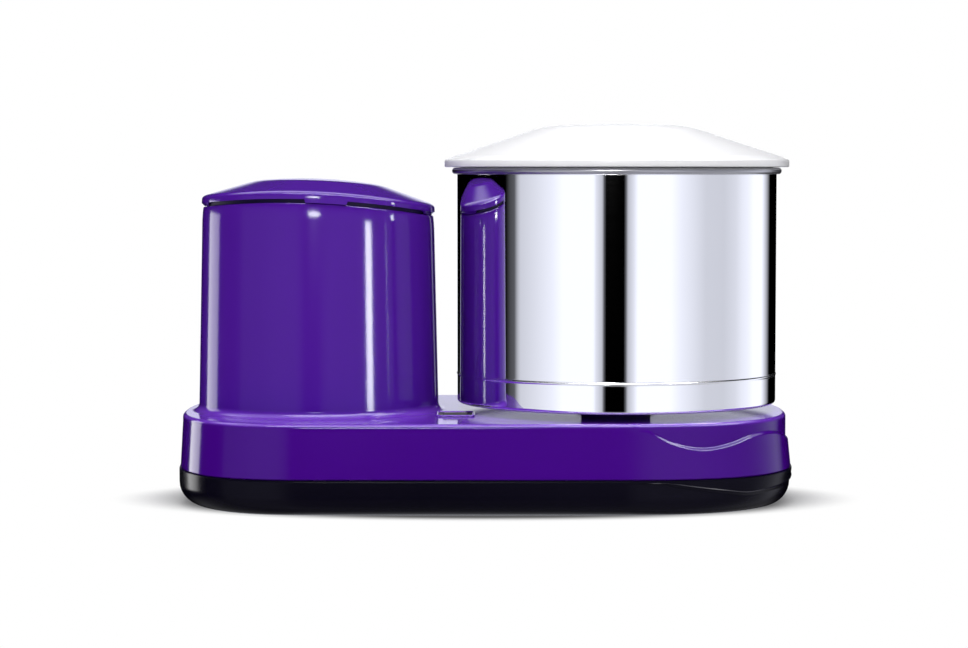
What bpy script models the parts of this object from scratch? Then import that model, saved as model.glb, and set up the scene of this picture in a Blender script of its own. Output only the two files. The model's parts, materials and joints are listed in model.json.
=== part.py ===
"""Table-top wet grinder: a motor tower and a stainless drum on one long base.

Metres, +Z up, +X along the base towards the drum, -Y the front. The origin is on the
table, under the middle of the base. The motor axis and the drum axis are vertical, and
a belt in the base joins them.
"""
from math import asin, copysign, cos, pi, radians, sin

import bmesh
import bpy

# Clearances
SEAT_GAP = 0.0003        # between pieces that touch
RUN_GAP = 0.0003         # between a shaft and the hole it turns in
SHAFT_FIT = 0.0003       # between a pressed piece and its shaft
OVERRUN = 0.004          # how far a cutter passes the wall it cuts

# Rounding of the mesh
ROUND_STEPS = 48         # sides of the drum, the lid and the tower
WHEEL_STEPS = 32         # sides of a stone or a large pulley
SMALL_STEPS = 20         # sides of a shaft-sized piece
SCREW_STEPS = 8          # sides of a screw
END_STEPS = 12           # steps in a quarter of an end of the base
TRAY_EDGE_STEPS = 4      # steps in the tray's rounded lower edge
FILLET_STEPS = 2         # steps in any other rounded edge

# Drum and tower, which set the size of the base under them
DRUM_RADIUS = 0.1258
TOWER_FOOT_RADIUS = 0.0945
TOWER_DRUM_GAP = 0.0147

# Base, seen from above
DRUM_SIDE_MARGIN = 0.0122     # base beyond the drum, at front and back
DRUM_END_MARGIN = 0.0117      # base beyond the drum, at the right end
TOWER_END_MARGIN = 0.0140     # base beyond the tower, at the left end
END_ROUND_SHARE = 0.8         # 1 makes the ends elliptic, less makes them squarer

# Base, seen from the front
FOOT_STAND = 0.0018      # tray above the table
SEAM_HEIGHT = 0.0295     # where tray and body shell meet
DECK_HEIGHT = 0.070      # top of the deck
TRAY_WALL = 0.0025
TRAY_EDGE_RADIUS = 0.016
BODY_WALL = 0.0025
BODY_LEDGE = 0.001       # body shell inside the tray's outline at the seam
BODY_DRAFT = 0.002       # lean of the skirt up to the deck
DECK_EDGE_RADIUS = 0.003

# Wave that is pressed into the skirt round the drum's end
WAVE_STEP = 0.002        # how far the skirt stands out below the wave
WAVE_FALL = 0.003        # height of the step itself
WAVE_SHARES = ((0.0, 1.0), (0.05, 0.84), (0.12, 0.62), (0.23, 0.50), (0.35, 0.56),
               (0.46, 0.68), (0.57, 0.72), (0.68, 0.68), (0.84, 0.52), (1.0, 0.48))

# Tower
TOWER_HEIGHT = 0.1650    # highest point of the rim over the deck
TOWER_TAPER = 0.0033     # how much narrower the rim is than the foot
TOWER_FILLET = 0.006
TOWER_WALL = 0.0025
ARCH_LEFT = 0.022        # that point, left of the motor axis
ARCH_RADIUS = 0.58       # bend of the rim, seen from the front

# Motor cap
CAP_GAP = 0.0030         # vent gap between tower and cap
CAP_OVERHANG = 0.0006
CAP_BAND = 0.0055        # upright band round the cap
CAP_BEVEL = 0.003
CAP_RISE = 0.0186        # top of the cap over the tower's rim
CAP_FLAT_RADIUS = 0.048
CAP_CROWN = 0.0012       # the flat's own crown
CAP_WALL = 0.0025
CAP_LIP_GAP = 0.004      # lip inside the cap, off the tower's wall
CAP_LIP_WALL = 0.002
CAP_LIP_DEPTH = 0.006    # lip below the tower's rim
CAP_RIB_COUNT = 3
CAP_RIB_WIDTH = 0.031
CAP_RIB_DEGREES = 7.0    # front rib, turned to the right of the front
CAP_RIB_STEPS = 3
CAP_SPAN_STEPS = 13

# Bosses and screws
BOSS_RADIUS = 0.005
SCREW_RADIUS = 0.0017
SCREW_HOLE_RADIUS = 0.0021
SCREW_HEAD_RADIUS = 0.0035
SCREW_HEAD_HEIGHT = 0.0012
SCREW_BITE = 0.009       # how deep a screw goes into its piece
SCREW_HOLE_DEPTH = 0.011
BOSS_MARGIN = 0.006      # boss off the tower's foot or off the drum's pulley
BOSS_TOWER_DEGREES = 44.0
BOSS_DRUM_DEGREES = 36.0

# Feet
FOOT_RADIUS = 0.011
FOOT_STEM_RADIUS = 0.0037
FOOT_HOLE_RADIUS = 0.0040
FOOT_BULB_RADIUS = 0.0055
FOOT_BULB_HEIGHT = 0.003
FOOT_TOWER_X = 0.020     # left foot beyond the motor axis
FOOT_TOWER_INSET = 0.017      # its edge inside the tray's flat floor
FOOT_DRUM_X = 0.060      # right foot beyond the drum axis
FOOT_DRUM_INSET = 0.022

# Motor bracket
PLATE_RADIUS = 0.080
PLATE_DROP = 0.0055      # top of the plate under the deck
PLATE_THICKNESS = 0.004
PLATE_HOLE_RADIUS = 0.016
LEG_RADIUS = 0.006
LEG_INSET = 0.015        # middle of a leg inside the plate's edge
LEG_COUNT = 3

# Motor
MOTOR_RADIUS = 0.056
MOTOR_BORE_RADIUS = 0.031
STACK_HEIGHT = 0.045
SHIELD_FLOOR = 0.009
SHIELD_HEIGHT = 0.022
SHIELD_WALL = 0.003
UPPER_SHIELD_FLOOR = 0.004
BEARING_RADIUS = 0.0130
BEARING_HEIGHT = 0.009
BEARING_SEAT_WALL = 0.003
WINDING_THICKNESS = 0.016
WINDING_WALL_GAP = 0.003 # winding off the end shield's wall
WINDING_MARGIN = 0.0015
ROTOR_RADIUS = 0.0303
SHAFT_RADIUS = 0.005
SHAFT_END_GAP = 0.006    # shaft's lower end over the tray
MOTOR_SCREW_OFFSET = 0.030
MOTOR_SCREW_BITE = 0.005
MOTOR_SCREW_DEPTH = 0.006
MOTOR_SCREW_COUNT = 2
FAN_RADIUS = 0.050
FAN_HUB_RADIUS = 0.010
FAN_HEIGHT = 0.012
FAN_CLEARANCE = 0.005
FAN_BLADE_COUNT = 8
FAN_BLADE_THICKNESS = 0.002
SHAFT_TOP_MARGIN = 0.002

# Capacitor and terminals, on the tray between the motor and the drum pulley
ELECTRICS_X = 0.105      # both from the motor axis
CAPACITOR_RADIUS = 0.015
CAPACITOR_HEADROOM = 0.0105   # capacitor under the deck
CAPACITOR_INSET = 0.003  # inside the tray's flat floor
CAPACITOR_EDGE = 0.002
CLAMP_HEIGHT = 0.010
CLAMP_THICKNESS = 0.0015
CLAMP_RISE = 0.014       # clamp over the tray's floor
TERMINAL_LENGTH = 0.040
TERMINAL_WIDTH = 0.014
TERMINAL_HEIGHT = 0.013
TERMINAL_INSET = 0.004   # inside the tray's flat floor
TERMINAL_WALL = 0.002
TERMINAL_COUNT = 4

# Cord gland in the back of the tower
GLAND_RISE = 0.030       # over the deck
GLAND_HOLE_RADIUS = 0.0080
GLAND_NECK_RADIUS = 0.0076
GLAND_FLANGE_RADIUS = 0.0110
GLAND_FLANGE_THICKNESS = 0.003
GLAND_BORE_RADIUS = 0.0036
GLAND_STANDOFF = 0.0012  # flange off the round wall
GLAND_TAIL = 0.007
GLAND_SPOUT = 0.006

# Belt drive
BELT_LEVEL = 0.035
PULLEY_INSET = 0.0378    # big groove's floor inside the drum's outside
SMALL_GROOVE_RADIUS = 0.009
GROOVE_DEPTH = 0.006
GROOVE_HALF_FLOOR = 0.002
GROOVE_HALF_MOUTH = 0.004
PULLEY_RIM_MARGIN = 0.002
PULLEY_RIM_DEPTH = 0.004
BELT_GAP = 0.0007        # belt off the groove's floor and sides
BELT_DEPTH = 0.005
BELT_BIG_STEPS = 40
BELT_SMALL_STEPS = 12

# Spindle and its bracket
SPINDLE_RADIUS = 0.006
SPINDLE_FOOT_GAP = 0.002
SPINDLE_REACH = 0.011    # spindle over the holder, inside the knob
SPINDLE_BEVEL = 0.001
BRACKET_RADIUS = 0.040
BRACKET_FLANGE = 0.012
BRACKET_BOSS_RADIUS = 0.014
BRACKET_TOP = 0.028
BRACKET_SCREW_OFFSET = 0.030
BRACKET_SCREW_COUNT = 2

# Drum pulley's hub and the coupler on it
HUB_RADIUS = 0.022
HUB_BEARING_RADIUS = 0.016
HUB_BEARING_HEIGHT = 0.009
PULLEY_WEB = 0.004
COUPLER_FLANGE = 0.007
COUPLER_FLANGE_INSET = 0.003  # flange inside the drum socket's outside
COUPLER_HEX_RADIUS = 0.020
COUPLER_HEX_HEIGHT = 0.007
COUPLER_TOP_GAP = 0.0006      # coupler under the drum
HUB_HOLE_GAP = 0.0015         # hole in the deck round the drum socket
HUB_COLLAR_WALL = 0.002
HUB_COLLAR_HEIGHT = 0.004

# Drum
DRUM_WALL = 0.0012
DRUM_CLEARANCE = 0.009   # drum over the deck
DRUM_HEIGHT = 0.1802     # bottom to the centre of the rolled rim
RIM_ROLL_RADIUS = 0.0026
RIM_STEPS = 6
DRUM_CORNER_RADIUS = 0.003
BEAD_RISE = 0.021        # bead over the drum's bottom
BEAD_DEPTH = 0.0006
BEAD_HALF_HEIGHT = 0.0014
SOCKET_WALL = 0.0075
SOCKET_DEPTH = 0.0072
SOCKET_GAP = 0.0005
PIPE_RADIUS = 0.015
PIPE_BORE_RADIUS = 0.011
PIPE_FLANGE_RADIUS = 0.022
PIPE_FLANGE = 0.002
PIPE_RISE = 0.033        # pipe over the base stone
STONE_GAP = 0.0041       # base stone off the drum's wall
STONE_THICKNESS = 0.0315
STONE_BEVEL = 0.002

# Stone holder and rollers
ROLLER_RADIUS = 0.045
ROLLER_INNER = 0.025     # roller's inner end from the drum axis
ROLLER_WALL_GAP = 0.0216 # roller's outer end off the drum's wall
ROLLER_BEVEL = 0.004
ROLLER_BORE_RADIUS = 0.0140
BUSH_MARGIN = 0.001      # bush beyond each end of its roller
AXLE_RADIUS = 0.006
AXLE_COLLAR_RADIUS = 0.010
AXLE_COLLAR = 0.003
AXLE_THREAD = 0.0055
NUT_RADIUS = 0.0095
NUT_THICKNESS = 0.0045
HOLDER_RADIUS = 0.012
HOLDER_GAP = 0.0015      # holder over the drum pipe
HOLDER_NECK = 0.0155     # holder over the scraper arm
HOLDER_BEVEL = 0.001
SCRAPER_CLEARANCE = 0.0022    # scraper arm over the rollers
SCRAPER_ARM_THICKNESS = 0.005
SCRAPER_RING_WALL = 0.005
SCRAPER_ARM_HALF_WIDTH = 0.006
SCRAPER_GAP = 0.0056     # blade off the drum's wall
SCRAPER_BLADE_DEPTH = 0.012
SCRAPER_BLADE_HALF_WIDTH = 0.003
SCRAPER_BLADE_SKEW = 0.006
SCRAPER_LIFT = 0.0015    # blade over the base stone
KNOB_RADIUS = 0.019
KNOB_HEIGHT = 0.022
KNOB_LOBE_COUNT = 6
KNOB_LOBE_DEPTH = 0.002
KNOB_BORE_DEPTH = 0.014
KNOB_CROWN = 0.003

# Lid
LID_OVERHANG = 0.0057    # brim beyond the drum's rim
LID_BRIM = 0.0062
LID_BRIM_BEVEL = 0.0012
LID_BRIM_WIDTH = 0.010
LID_SHOULDER_RISE = 0.0095
LID_FLAT_RADIUS = 0.058
LID_FLAT_RISE = 0.0320
LID_RISE = 0.0340
LID_WALL = 0.0022
LID_LIP_DEPTH = 0.006
LID_LIP_GAP = 0.0015

# Switch in the deck
SWITCH_OFFSET = 0.0140        # middle of the switch right of the tower's foot
SWITCH_INSET = 0.0845         # behind the front of the base
SWITCH_HALF_WIDTH = 0.0115    # hole in the deck
SWITCH_HALF_LENGTH = 0.0155
SWITCH_FRAME = 0.0035         # frame round the hole
SWITCH_FRAME_HEIGHT = 0.0012
SWITCH_WALL = 0.0012
SWITCH_DEPTH = 0.018
SWITCH_WELL = 0.0065
ROCKER_GAP = 0.0005
ROCKER_HEEL = 0.0022          # rocker below its pivot
ROCKER_TIP = 0.0026           # rocker's ends over its pivot
ROCKER_VALLEY = 0.0009        # rocker's middle over its pivot
ROCKER_TILT_DEGREES = 7.0

# Worked out from the sizes above: places seen from above
HALF_DEPTH = DRUM_RADIUS + DRUM_SIDE_MARGIN
TOWER_END = TOWER_FOOT_RADIUS + TOWER_END_MARGIN
DRUM_END = DRUM_RADIUS + DRUM_END_MARGIN
AXIS_DISTANCE = TOWER_FOOT_RADIUS + TOWER_DRUM_GAP + DRUM_RADIUS
HALF_LENGTH = (TOWER_END + AXIS_DISTANCE + DRUM_END) / 2
MOTOR_X = TOWER_END - HALF_LENGTH
DRUM_X = HALF_LENGTH - DRUM_END
TOWER_TOP_RADIUS = TOWER_FOOT_RADIUS - TOWER_TAPER
FLOOR_HALF_DEPTH = HALF_DEPTH - TRAY_EDGE_RADIUS
SWITCH_X = MOTOR_X + TOWER_FOOT_RADIUS + SWITCH_OFFSET
SWITCH_Y = SWITCH_INSET - HALF_DEPTH
LEG_OFFSET = PLATE_RADIUS - LEG_INSET
WINDING_OUTER_RADIUS = MOTOR_RADIUS - SHIELD_WALL - WINDING_WALL_GAP
WINDING_INNER_RADIUS = WINDING_OUTER_RADIUS - WINDING_THICKNESS
BIG_GROOVE_RADIUS = DRUM_RADIUS - PULLEY_INSET
SOCKET_RADIUS = COUPLER_HEX_RADIUS + SOCKET_WALL
COUPLER_FLANGE_RADIUS = SOCKET_RADIUS - COUPLER_FLANGE_INSET
HUB_HOLE_RADIUS = SOCKET_RADIUS + HUB_HOLE_GAP
BORE_GAP_RADIUS = SPINDLE_RADIUS + RUN_GAP
DRUM_INNER_RADIUS = DRUM_RADIUS - DRUM_WALL
STONE_RADIUS = DRUM_INNER_RADIUS - STONE_GAP
ROLLER_LENGTH = DRUM_INNER_RADIUS - ROLLER_WALL_GAP - ROLLER_INNER
ROLLER_OFFSET = ROLLER_INNER + ROLLER_LENGTH / 2
BUSH_LENGTH = ROLLER_LENGTH + 2 * BUSH_MARGIN
SCRAPER_REACH = DRUM_INNER_RADIUS - SCRAPER_GAP
LID_RADIUS = DRUM_INNER_RADIUS + 2 * RIM_ROLL_RADIUS + LID_OVERHANG

# Worked out from the sizes above: heights
TRAY_FLOOR = FOOT_STAND + TRAY_WALL
DECK_UNDERSIDE = DECK_HEIGHT - BODY_WALL
ARCH_TOP = DECK_HEIGHT + TOWER_HEIGHT
GLAND_HEIGHT = DECK_HEIGHT + GLAND_RISE
PLATE_TOP = DECK_UNDERSIDE - PLATE_DROP
PLATE_HEIGHT = PLATE_TOP - PLATE_THICKNESS
MOTOR_BASE = PLATE_TOP + SEAT_GAP
STACK_BASE = MOTOR_BASE + SHIELD_HEIGHT + SEAT_GAP
STACK_TOP = STACK_BASE + STACK_HEIGHT
MOTOR_TOP = STACK_TOP + SEAT_GAP + SHIELD_HEIGHT
FAN_BASE = MOTOR_TOP + FAN_CLEARANCE
DRUM_BOTTOM = DECK_HEIGHT + DRUM_CLEARANCE
DRUM_FLOOR = DRUM_BOTTOM + DRUM_WALL
DRUM_RIM_LEVEL = DRUM_BOTTOM + DRUM_HEIGHT
BEAD_LEVEL = DRUM_BOTTOM + BEAD_RISE
COUPLER_BASE = DRUM_BOTTOM - COUPLER_TOP_GAP - COUPLER_HEX_HEIGHT - COUPLER_FLANGE
HUB_BASE = BRACKET_TOP + SEAT_GAP
HUB_TOP = COUPLER_BASE - SEAT_GAP
STONE_BASE = DRUM_FLOOR + SEAT_GAP
STONE_TOP = STONE_BASE + STONE_THICKNESS
PIPE_TOP = STONE_TOP + PIPE_RISE
AXLE_LEVEL = STONE_TOP + SEAT_GAP + ROLLER_RADIUS
SCRAPER_LEVEL = AXLE_LEVEL + ROLLER_RADIUS + SCRAPER_CLEARANCE
HOLDER_TOP = SCRAPER_LEVEL + SCRAPER_ARM_THICKNESS + HOLDER_NECK
SPINDLE_TOP = HOLDER_TOP + SPINDLE_REACH
RIM_TOP = DRUM_RIM_LEVEL + RIM_ROLL_RADIUS
LID_BASE = RIM_TOP + SEAT_GAP


def around(radius, count, start=0.0):
    """Places evenly spaced on a circle round the piece's own axis."""
    turns = [start + 2 * pi * i / count for i in range(count)]
    return [(radius * cos(turn), radius * sin(turn)) for turn in turns]


def mirrored(x, radius, degrees):
    """A place beside an axis at x, at this angle to the front, and its mirror image at the back."""
    along, across = radius * cos(radians(degrees)), radius * sin(radians(degrees))
    return [(x + along, -across), (x + along, across)]


LEG_PLACES = around(LEG_OFFSET, LEG_COUNT, pi)
MOTOR_SCREW_PLACES = around(MOTOR_SCREW_OFFSET, MOTOR_SCREW_COUNT)
BRACKET_SCREW_PLACES = around(BRACKET_SCREW_OFFSET, BRACKET_SCREW_COUNT)
BOSS_PLACES = mirrored(MOTOR_X, TOWER_FOOT_RADIUS + BOSS_RADIUS + BOSS_MARGIN, BOSS_TOWER_DEGREES)
BOSS_PLACES += mirrored(DRUM_X, BIG_GROOVE_RADIUS + GROOVE_DEPTH + BOSS_RADIUS + BOSS_MARGIN,
                        BOSS_DRUM_DEGREES)
FOOT_TOWER_Y = FLOOR_HALF_DEPTH - FOOT_RADIUS - FOOT_TOWER_INSET
FOOT_DRUM_Y = FLOOR_HALF_DEPTH - FOOT_RADIUS - FOOT_DRUM_INSET
FOOT_PLACES = {
    "foot_front_left": (MOTOR_X - FOOT_TOWER_X, -FOOT_TOWER_Y),
    "foot_front_right": (DRUM_X + FOOT_DRUM_X, -FOOT_DRUM_Y),
    "foot_back_left": (MOTOR_X - FOOT_TOWER_X, FOOT_TOWER_Y),
    "foot_back_right": (DRUM_X + FOOT_DRUM_X, FOOT_DRUM_Y),
}


def clear_scene():
    for old in list(bpy.data.objects):
        bpy.data.objects.remove(old, do_unlink=True)


def finish(name, colour, roughness, metallic=0.0):
    """A plain material of one colour."""
    material = bpy.data.materials.new(name)
    material.use_nodes = True
    shader = material.node_tree.nodes["Principled BSDF"]
    shader.inputs["Base Color"].default_value = (*colour, 1.0)
    shader.inputs["Roughness"].default_value = roughness
    shader.inputs["Metallic"].default_value = metallic
    return material


def axis(name, x, y=0.0, z=0.0):
    """An empty on a joint's axis, which the pieces round that axis hang from."""
    empty = bpy.data.objects.new(name, None)
    bpy.context.collection.objects.link(empty)
    empty.location = (x, y, z)
    return empty


def circle(radius, height, steps, centre=(0.0, 0.0)):
    turns = [2 * pi * i / steps for i in range(steps)]
    return [(centre[0] + radius * cos(turn), centre[1] + radius * sin(turn), height) for turn in turns]


def rectangle(half_x, half_y, height, centre=(0.0, 0.0)):
    corners = ((-1, -1), (1, -1), (1, 1), (-1, 1))
    return [(centre[0] + sx * half_x, centre[1] + sy * half_y, height) for sx, sy in corners]


class Skin:
    """A closed surface that is put together ring by ring."""

    def __init__(self):
        self.mesh = bmesh.new()

    def ring(self, points):
        return [self.mesh.verts.new(point) for point in points]

    def wall(self, *rings):
        """Join each ring to the next, and give back the last one."""
        for near, far in zip(rings, rings[1:]):
            count = max(len(near), len(far))
            for i in range(count):
                j = (i + 1) % count
                corners = [near[i % len(near)], near[j % len(near)], far[j % len(far)], far[i % len(far)]]
                self.mesh.faces.new(list(dict.fromkeys(corners)))
        return rings[-1]

    def lid(self, ring):
        self.mesh.faces.new(ring)

    def flat(self, *rings):
        """Fill the flat region inside the first ring and outside the others."""
        edges = []
        for ring in rings:
            for start, end in zip(ring, ring[1:] + ring[:1]):
                edges.append(self.mesh.edges.get((start, end)) or self.mesh.edges.new((start, end)))
        bmesh.ops.triangle_fill(self.mesh, edges=edges, use_beauty=True, normal=(0, 0, 1))

    def blind_hole(self, centre, level, depth, radius=SCREW_HOLE_RADIUS):
        """A screw hole up from a flat underside: gives back its mouth for flat()."""
        mouth = self.ring(circle(radius, level, SCREW_STEPS, centre))
        self.lid(self.wall(mouth, self.ring(circle(radius, level + depth, SCREW_STEPS, centre))))
        return mouth

    def post(self, centre, radius, top, bottom):
        """A post down from a flat underside, with a screw hole in its end: gives back its root."""
        root = self.ring(circle(radius, top, SCREW_STEPS * 2, centre))
        end = self.wall(root, self.ring(circle(radius, bottom, SCREW_STEPS * 2, centre)))
        self.flat(end, self.blind_hole(centre, bottom, SCREW_HOLE_DEPTH))
        return root

    def piece(self, name, material, parent=None, place=(0.0, 0.0, 0.0), spin=(0.0, 0.0, 0.0)):
        bmesh.ops.recalc_face_normals(self.mesh, faces=self.mesh.faces)
        data = bpy.data.meshes.new(name)
        self.mesh.to_mesh(data)
        self.mesh.free()
        data.shade_smooth()
        data.set_sharp_from_angle(angle=radians(30))
        data.materials.append(material)
        made = bpy.data.objects.new(name, data)
        bpy.context.collection.objects.link(made)
        made.parent = parent
        made.location = place
        made.rotation_euler = spin
        return made


def turned(name, profile, material, parent=None, steps=ROUND_STEPS, **placing):
    """A profile of (radius, height) points, turned round the vertical axis."""
    skin = Skin()
    rings = [skin.ring(circle(radius, height, steps if radius else 1)) for radius, height in profile]
    if profile[0][0] and profile[-1][0]:
        rings.append(rings[0])
    skin.wall(*rings)
    return skin.piece(name, material, parent, **placing)


def tube(inner, outer, low, high):
    """Profile of a plain ring."""
    return [(inner, low), (outer, low), (outer, high), (inner, high)]


def prism(name, outer, holes, low, high, material, parent=None, **placing):
    """A flat outline with holes, as thick as low to high."""
    skin = Skin()
    ends = []
    for height in (low, high):
        ends.append([skin.ring([(x, y, height) for x, y, _ in ring]) for ring in (outer, *holes)])
        skin.flat(*ends[-1])
    for bottom, top in zip(*ends):
        skin.wall(bottom, top)
    return skin.piece(name, material, parent, **placing)


def outline(inset, height, step_inset=None):
    """Plan of the base, drawn in by inset: straight sides and two squarish round ends.

    step_inset is drawn in as well, but only round the drum's end, in full from a little
    way into it.
    """
    points = []
    for centre, reach, way in ((DRUM_X, DRUM_END, 1), (MOTOR_X, TOWER_END, -1)):
        for step in range(2 * END_STEPS + 1):
            turn = pi * step / (2 * END_STEPS) - pi / 2
            extra = step_inset * wave_fade(step) if step_inset and way > 0 else 0.0
            along = abs(cos(turn)) ** END_ROUND_SHARE * (reach - inset - extra)
            across = abs(sin(turn)) ** END_ROUND_SHARE * (HALF_DEPTH - inset - extra)
            level = height(step, way) if callable(height) else height
            points.append((centre + way * along, way * copysign(across, turn), level))
    return points


def wave_share(step):
    """How far a step of the drum's end is from the side (0) towards the tip (1)."""
    return 1 - abs(step / END_STEPS - 1)


def wave_fade(step):
    return min(1.0, wave_share(step) * END_STEPS / 2)


def wave_level(step, way):
    """Height of the foot of the wave's step, read from its shares of the skirt."""
    highest = DECK_HEIGHT - DECK_EDGE_RADIUS - 2 * WAVE_FALL
    share = wave_share(step) if way > 0 else 0.0
    for (start, low), (end, high) in zip(WAVE_SHARES, WAVE_SHARES[1:]):
        if share <= end:
            part = low + (high - low) * (share - start) / (end - start)
            return min(highest, SEAM_HEIGHT + part * (DECK_HEIGHT - SEAM_HEIGHT))
    return highest


def wave_top(step, way):
    return wave_level(step, way) + WAVE_FALL


def arch(x):
    """Height of the tower's rim at x from the motor axis."""
    return ARCH_TOP - (x + ARCH_LEFT) ** 2 / (2 * ARCH_RADIUS)


def arched(points):
    """Lift points, given with a height over the rim, on to the arch."""
    return [(x, y, z + arch(x)) for x, y, z in points]


def shifted(points, x):
    return [(px + x, py, pz) for px, py, pz in points]


def tray(material):
    """Bottom tray: a shallow pan with a rounded lower edge and holes for feet and screws."""
    skin = Skin()

    def pan(inset, bottom, radius):
        rings = [skin.ring(outline(inset, SEAM_HEIGHT - SEAT_GAP))]
        for step in range(TRAY_EDGE_STEPS + 1):
            turn = pi / 2 * step / TRAY_EDGE_STEPS
            drop = bottom + radius * (1 - sin(turn))
            rings.append(skin.ring(outline(inset + radius * (1 - cos(turn)), drop)))
        skin.wall(*rings)
        return rings[0], rings[-1]

    outer_rim, outer_floor = pan(0.0, FOOT_STAND, TRAY_EDGE_RADIUS)
    inner_rim, inner_floor = pan(TRAY_WALL, TRAY_FLOOR, TRAY_EDGE_RADIUS - TRAY_WALL)
    skin.wall(outer_rim, inner_rim)
    holes = [(place, SCREW_HOLE_RADIUS) for place in BOSS_PLACES]
    holes += [((MOTOR_X + x, y), SCREW_HOLE_RADIUS) for x, y in LEG_PLACES]
    holes += [((DRUM_X + x, y), SCREW_HOLE_RADIUS) for x, y in BRACKET_SCREW_PLACES]
    holes += [(place, FOOT_HOLE_RADIUS) for place in FOOT_PLACES.values()]
    below = [skin.ring(circle(radius, FOOT_STAND, SCREW_STEPS, place)) for place, radius in holes]
    above = [skin.ring(circle(radius, TRAY_FLOOR, SCREW_STEPS, place)) for place, radius in holes]
    for low, high in zip(below, above):
        skin.wall(low, high)
    skin.flat(outer_floor, *below)
    skin.flat(inner_floor, *above)
    return skin.piece("bottom_tray", material)


def body_shell(material):
    """Skirt, deck and tower in one moulding, open below and at the tower's top."""
    skin = Skin()
    top_inset = BODY_LEDGE + BODY_DRAFT
    skirt = [skin.ring(outline(BODY_LEDGE, SEAM_HEIGHT)),
             skin.ring(outline(top_inset, wave_level)),
             skin.ring(outline(top_inset, wave_top, WAVE_STEP))]
    for step in range(FILLET_STEPS + 1):
        turn = pi / 2 * step / FILLET_STEPS
        inset = top_inset + DECK_EDGE_RADIUS * (1 - cos(turn))
        height = DECK_HEIGHT - DECK_EDGE_RADIUS * (1 - sin(turn))
        skirt.append(skin.ring(outline(inset, height, WAVE_STEP)))
    deck_edge = skin.wall(*skirt)
    inner_inset = BODY_LEDGE + BODY_DRAFT + WAVE_STEP + BODY_WALL
    lining = [skin.ring(outline(BODY_LEDGE + BODY_WALL, SEAM_HEIGHT)),
              skin.ring(outline(inner_inset, DECK_UNDERSIDE))]
    skin.wall(*lining)
    skin.wall(skirt[0], lining[0])

    tower = []
    for step in range(FILLET_STEPS + 1):
        turn = pi / 2 * step / FILLET_STEPS
        radius = TOWER_FOOT_RADIUS + TOWER_FILLET * (1 - sin(turn))
        height = DECK_HEIGHT + TOWER_FILLET * (1 - cos(turn))
        tower.append(skin.ring(circle(radius, height, ROUND_STEPS, (MOTOR_X, 0.0))))
    rim = arched(circle(TOWER_TOP_RADIUS, 0.0, ROUND_STEPS))
    inner_rim = arched(circle(TOWER_TOP_RADIUS - TOWER_WALL, 0.0, ROUND_STEPS))
    tower.append(skin.ring(shifted(rim, MOTOR_X)))
    tower.append(skin.ring(shifted(inner_rim, MOTOR_X)))
    inner_foot = circle(TOWER_FOOT_RADIUS - TOWER_WALL, DECK_UNDERSIDE, ROUND_STEPS, (MOTOR_X, 0.0))
    tower.append(skin.ring(inner_foot))
    skin.wall(*tower)

    centre = (DRUM_X, 0.0)
    collar = [(HUB_HOLE_RADIUS + HUB_COLLAR_WALL, DECK_HEIGHT),
              (HUB_HOLE_RADIUS + HUB_COLLAR_WALL, DECK_HEIGHT + HUB_COLLAR_HEIGHT),
              (HUB_HOLE_RADIUS, DECK_HEIGHT + HUB_COLLAR_HEIGHT), (HUB_HOLE_RADIUS, DECK_UNDERSIDE)]
    hub = [skin.ring(circle(radius, height, SMALL_STEPS, centre)) for radius, height in collar]
    skin.wall(*hub)
    window = [skin.ring(rectangle(SWITCH_HALF_WIDTH, SWITCH_HALF_LENGTH, height, (SWITCH_X, SWITCH_Y)))
              for height in (DECK_HEIGHT, DECK_UNDERSIDE)]
    skin.wall(*window)
    boss_end = TRAY_FLOOR + SEAT_GAP
    roots = [skin.post(place, BOSS_RADIUS, DECK_UNDERSIDE, boss_end) for place in BOSS_PLACES]
    skin.flat(deck_edge, tower[0], hub[0], window[0])
    skin.flat(lining[1], tower[-1], hub[-1], window[1], *roots)
    return skin.piece("body_shell", material)


def cut_gland_hole(shell, material):
    """The round hole in the back of the tower that the cord gland sits in."""
    depth = TOWER_WALL + 2 * OVERRUN
    cutter = turned("gland_cutter", [(0.0, 0.0), (GLAND_HOLE_RADIUS, 0.0), (GLAND_HOLE_RADIUS, depth),
                                     (0.0, depth)], material, steps=SCREW_STEPS * 2,
                    place=(MOTOR_X, tower_back() + OVERRUN, GLAND_HEIGHT), spin=(pi / 2, 0.0, 0.0))
    cutter.hide_render = True
    cutter.display_type = "WIRE"
    cut = shell.modifiers.new("gland_hole", "BOOLEAN")
    cut.operation = "DIFFERENCE"
    cut.object = cutter


def tower_back():
    """How far back the tower's wall is at the gland's height."""
    climb = (GLAND_HEIGHT - DECK_HEIGHT) / (ARCH_TOP - DECK_HEIGHT)
    return TOWER_FOOT_RADIUS - (TOWER_FOOT_RADIUS - TOWER_TOP_RADIUS) * climb


def gland(material, parent):
    """Cord gland: a spout and a flange outside the tower, and a neck through its wall."""
    face = GLAND_STANDOFF
    profile = [(GLAND_BORE_RADIUS, -GLAND_TAIL), (GLAND_NECK_RADIUS, -GLAND_TAIL),
               (GLAND_NECK_RADIUS, face), (GLAND_FLANGE_RADIUS, face),
               (GLAND_FLANGE_RADIUS, face + GLAND_FLANGE_THICKNESS),
               (GLAND_NECK_RADIUS, face + GLAND_FLANGE_THICKNESS),
               (GLAND_BORE_RADIUS + CLAMP_THICKNESS, face + GLAND_FLANGE_THICKNESS + GLAND_SPOUT),
               (GLAND_BORE_RADIUS, face + GLAND_FLANGE_THICKNESS + GLAND_SPOUT)]
    turned("cord_gland", profile, material, parent, SCREW_STEPS * 2,
           place=(0.0, tower_back(), GLAND_HEIGHT), spin=(-pi / 2, 0.0, 0.0))


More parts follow.
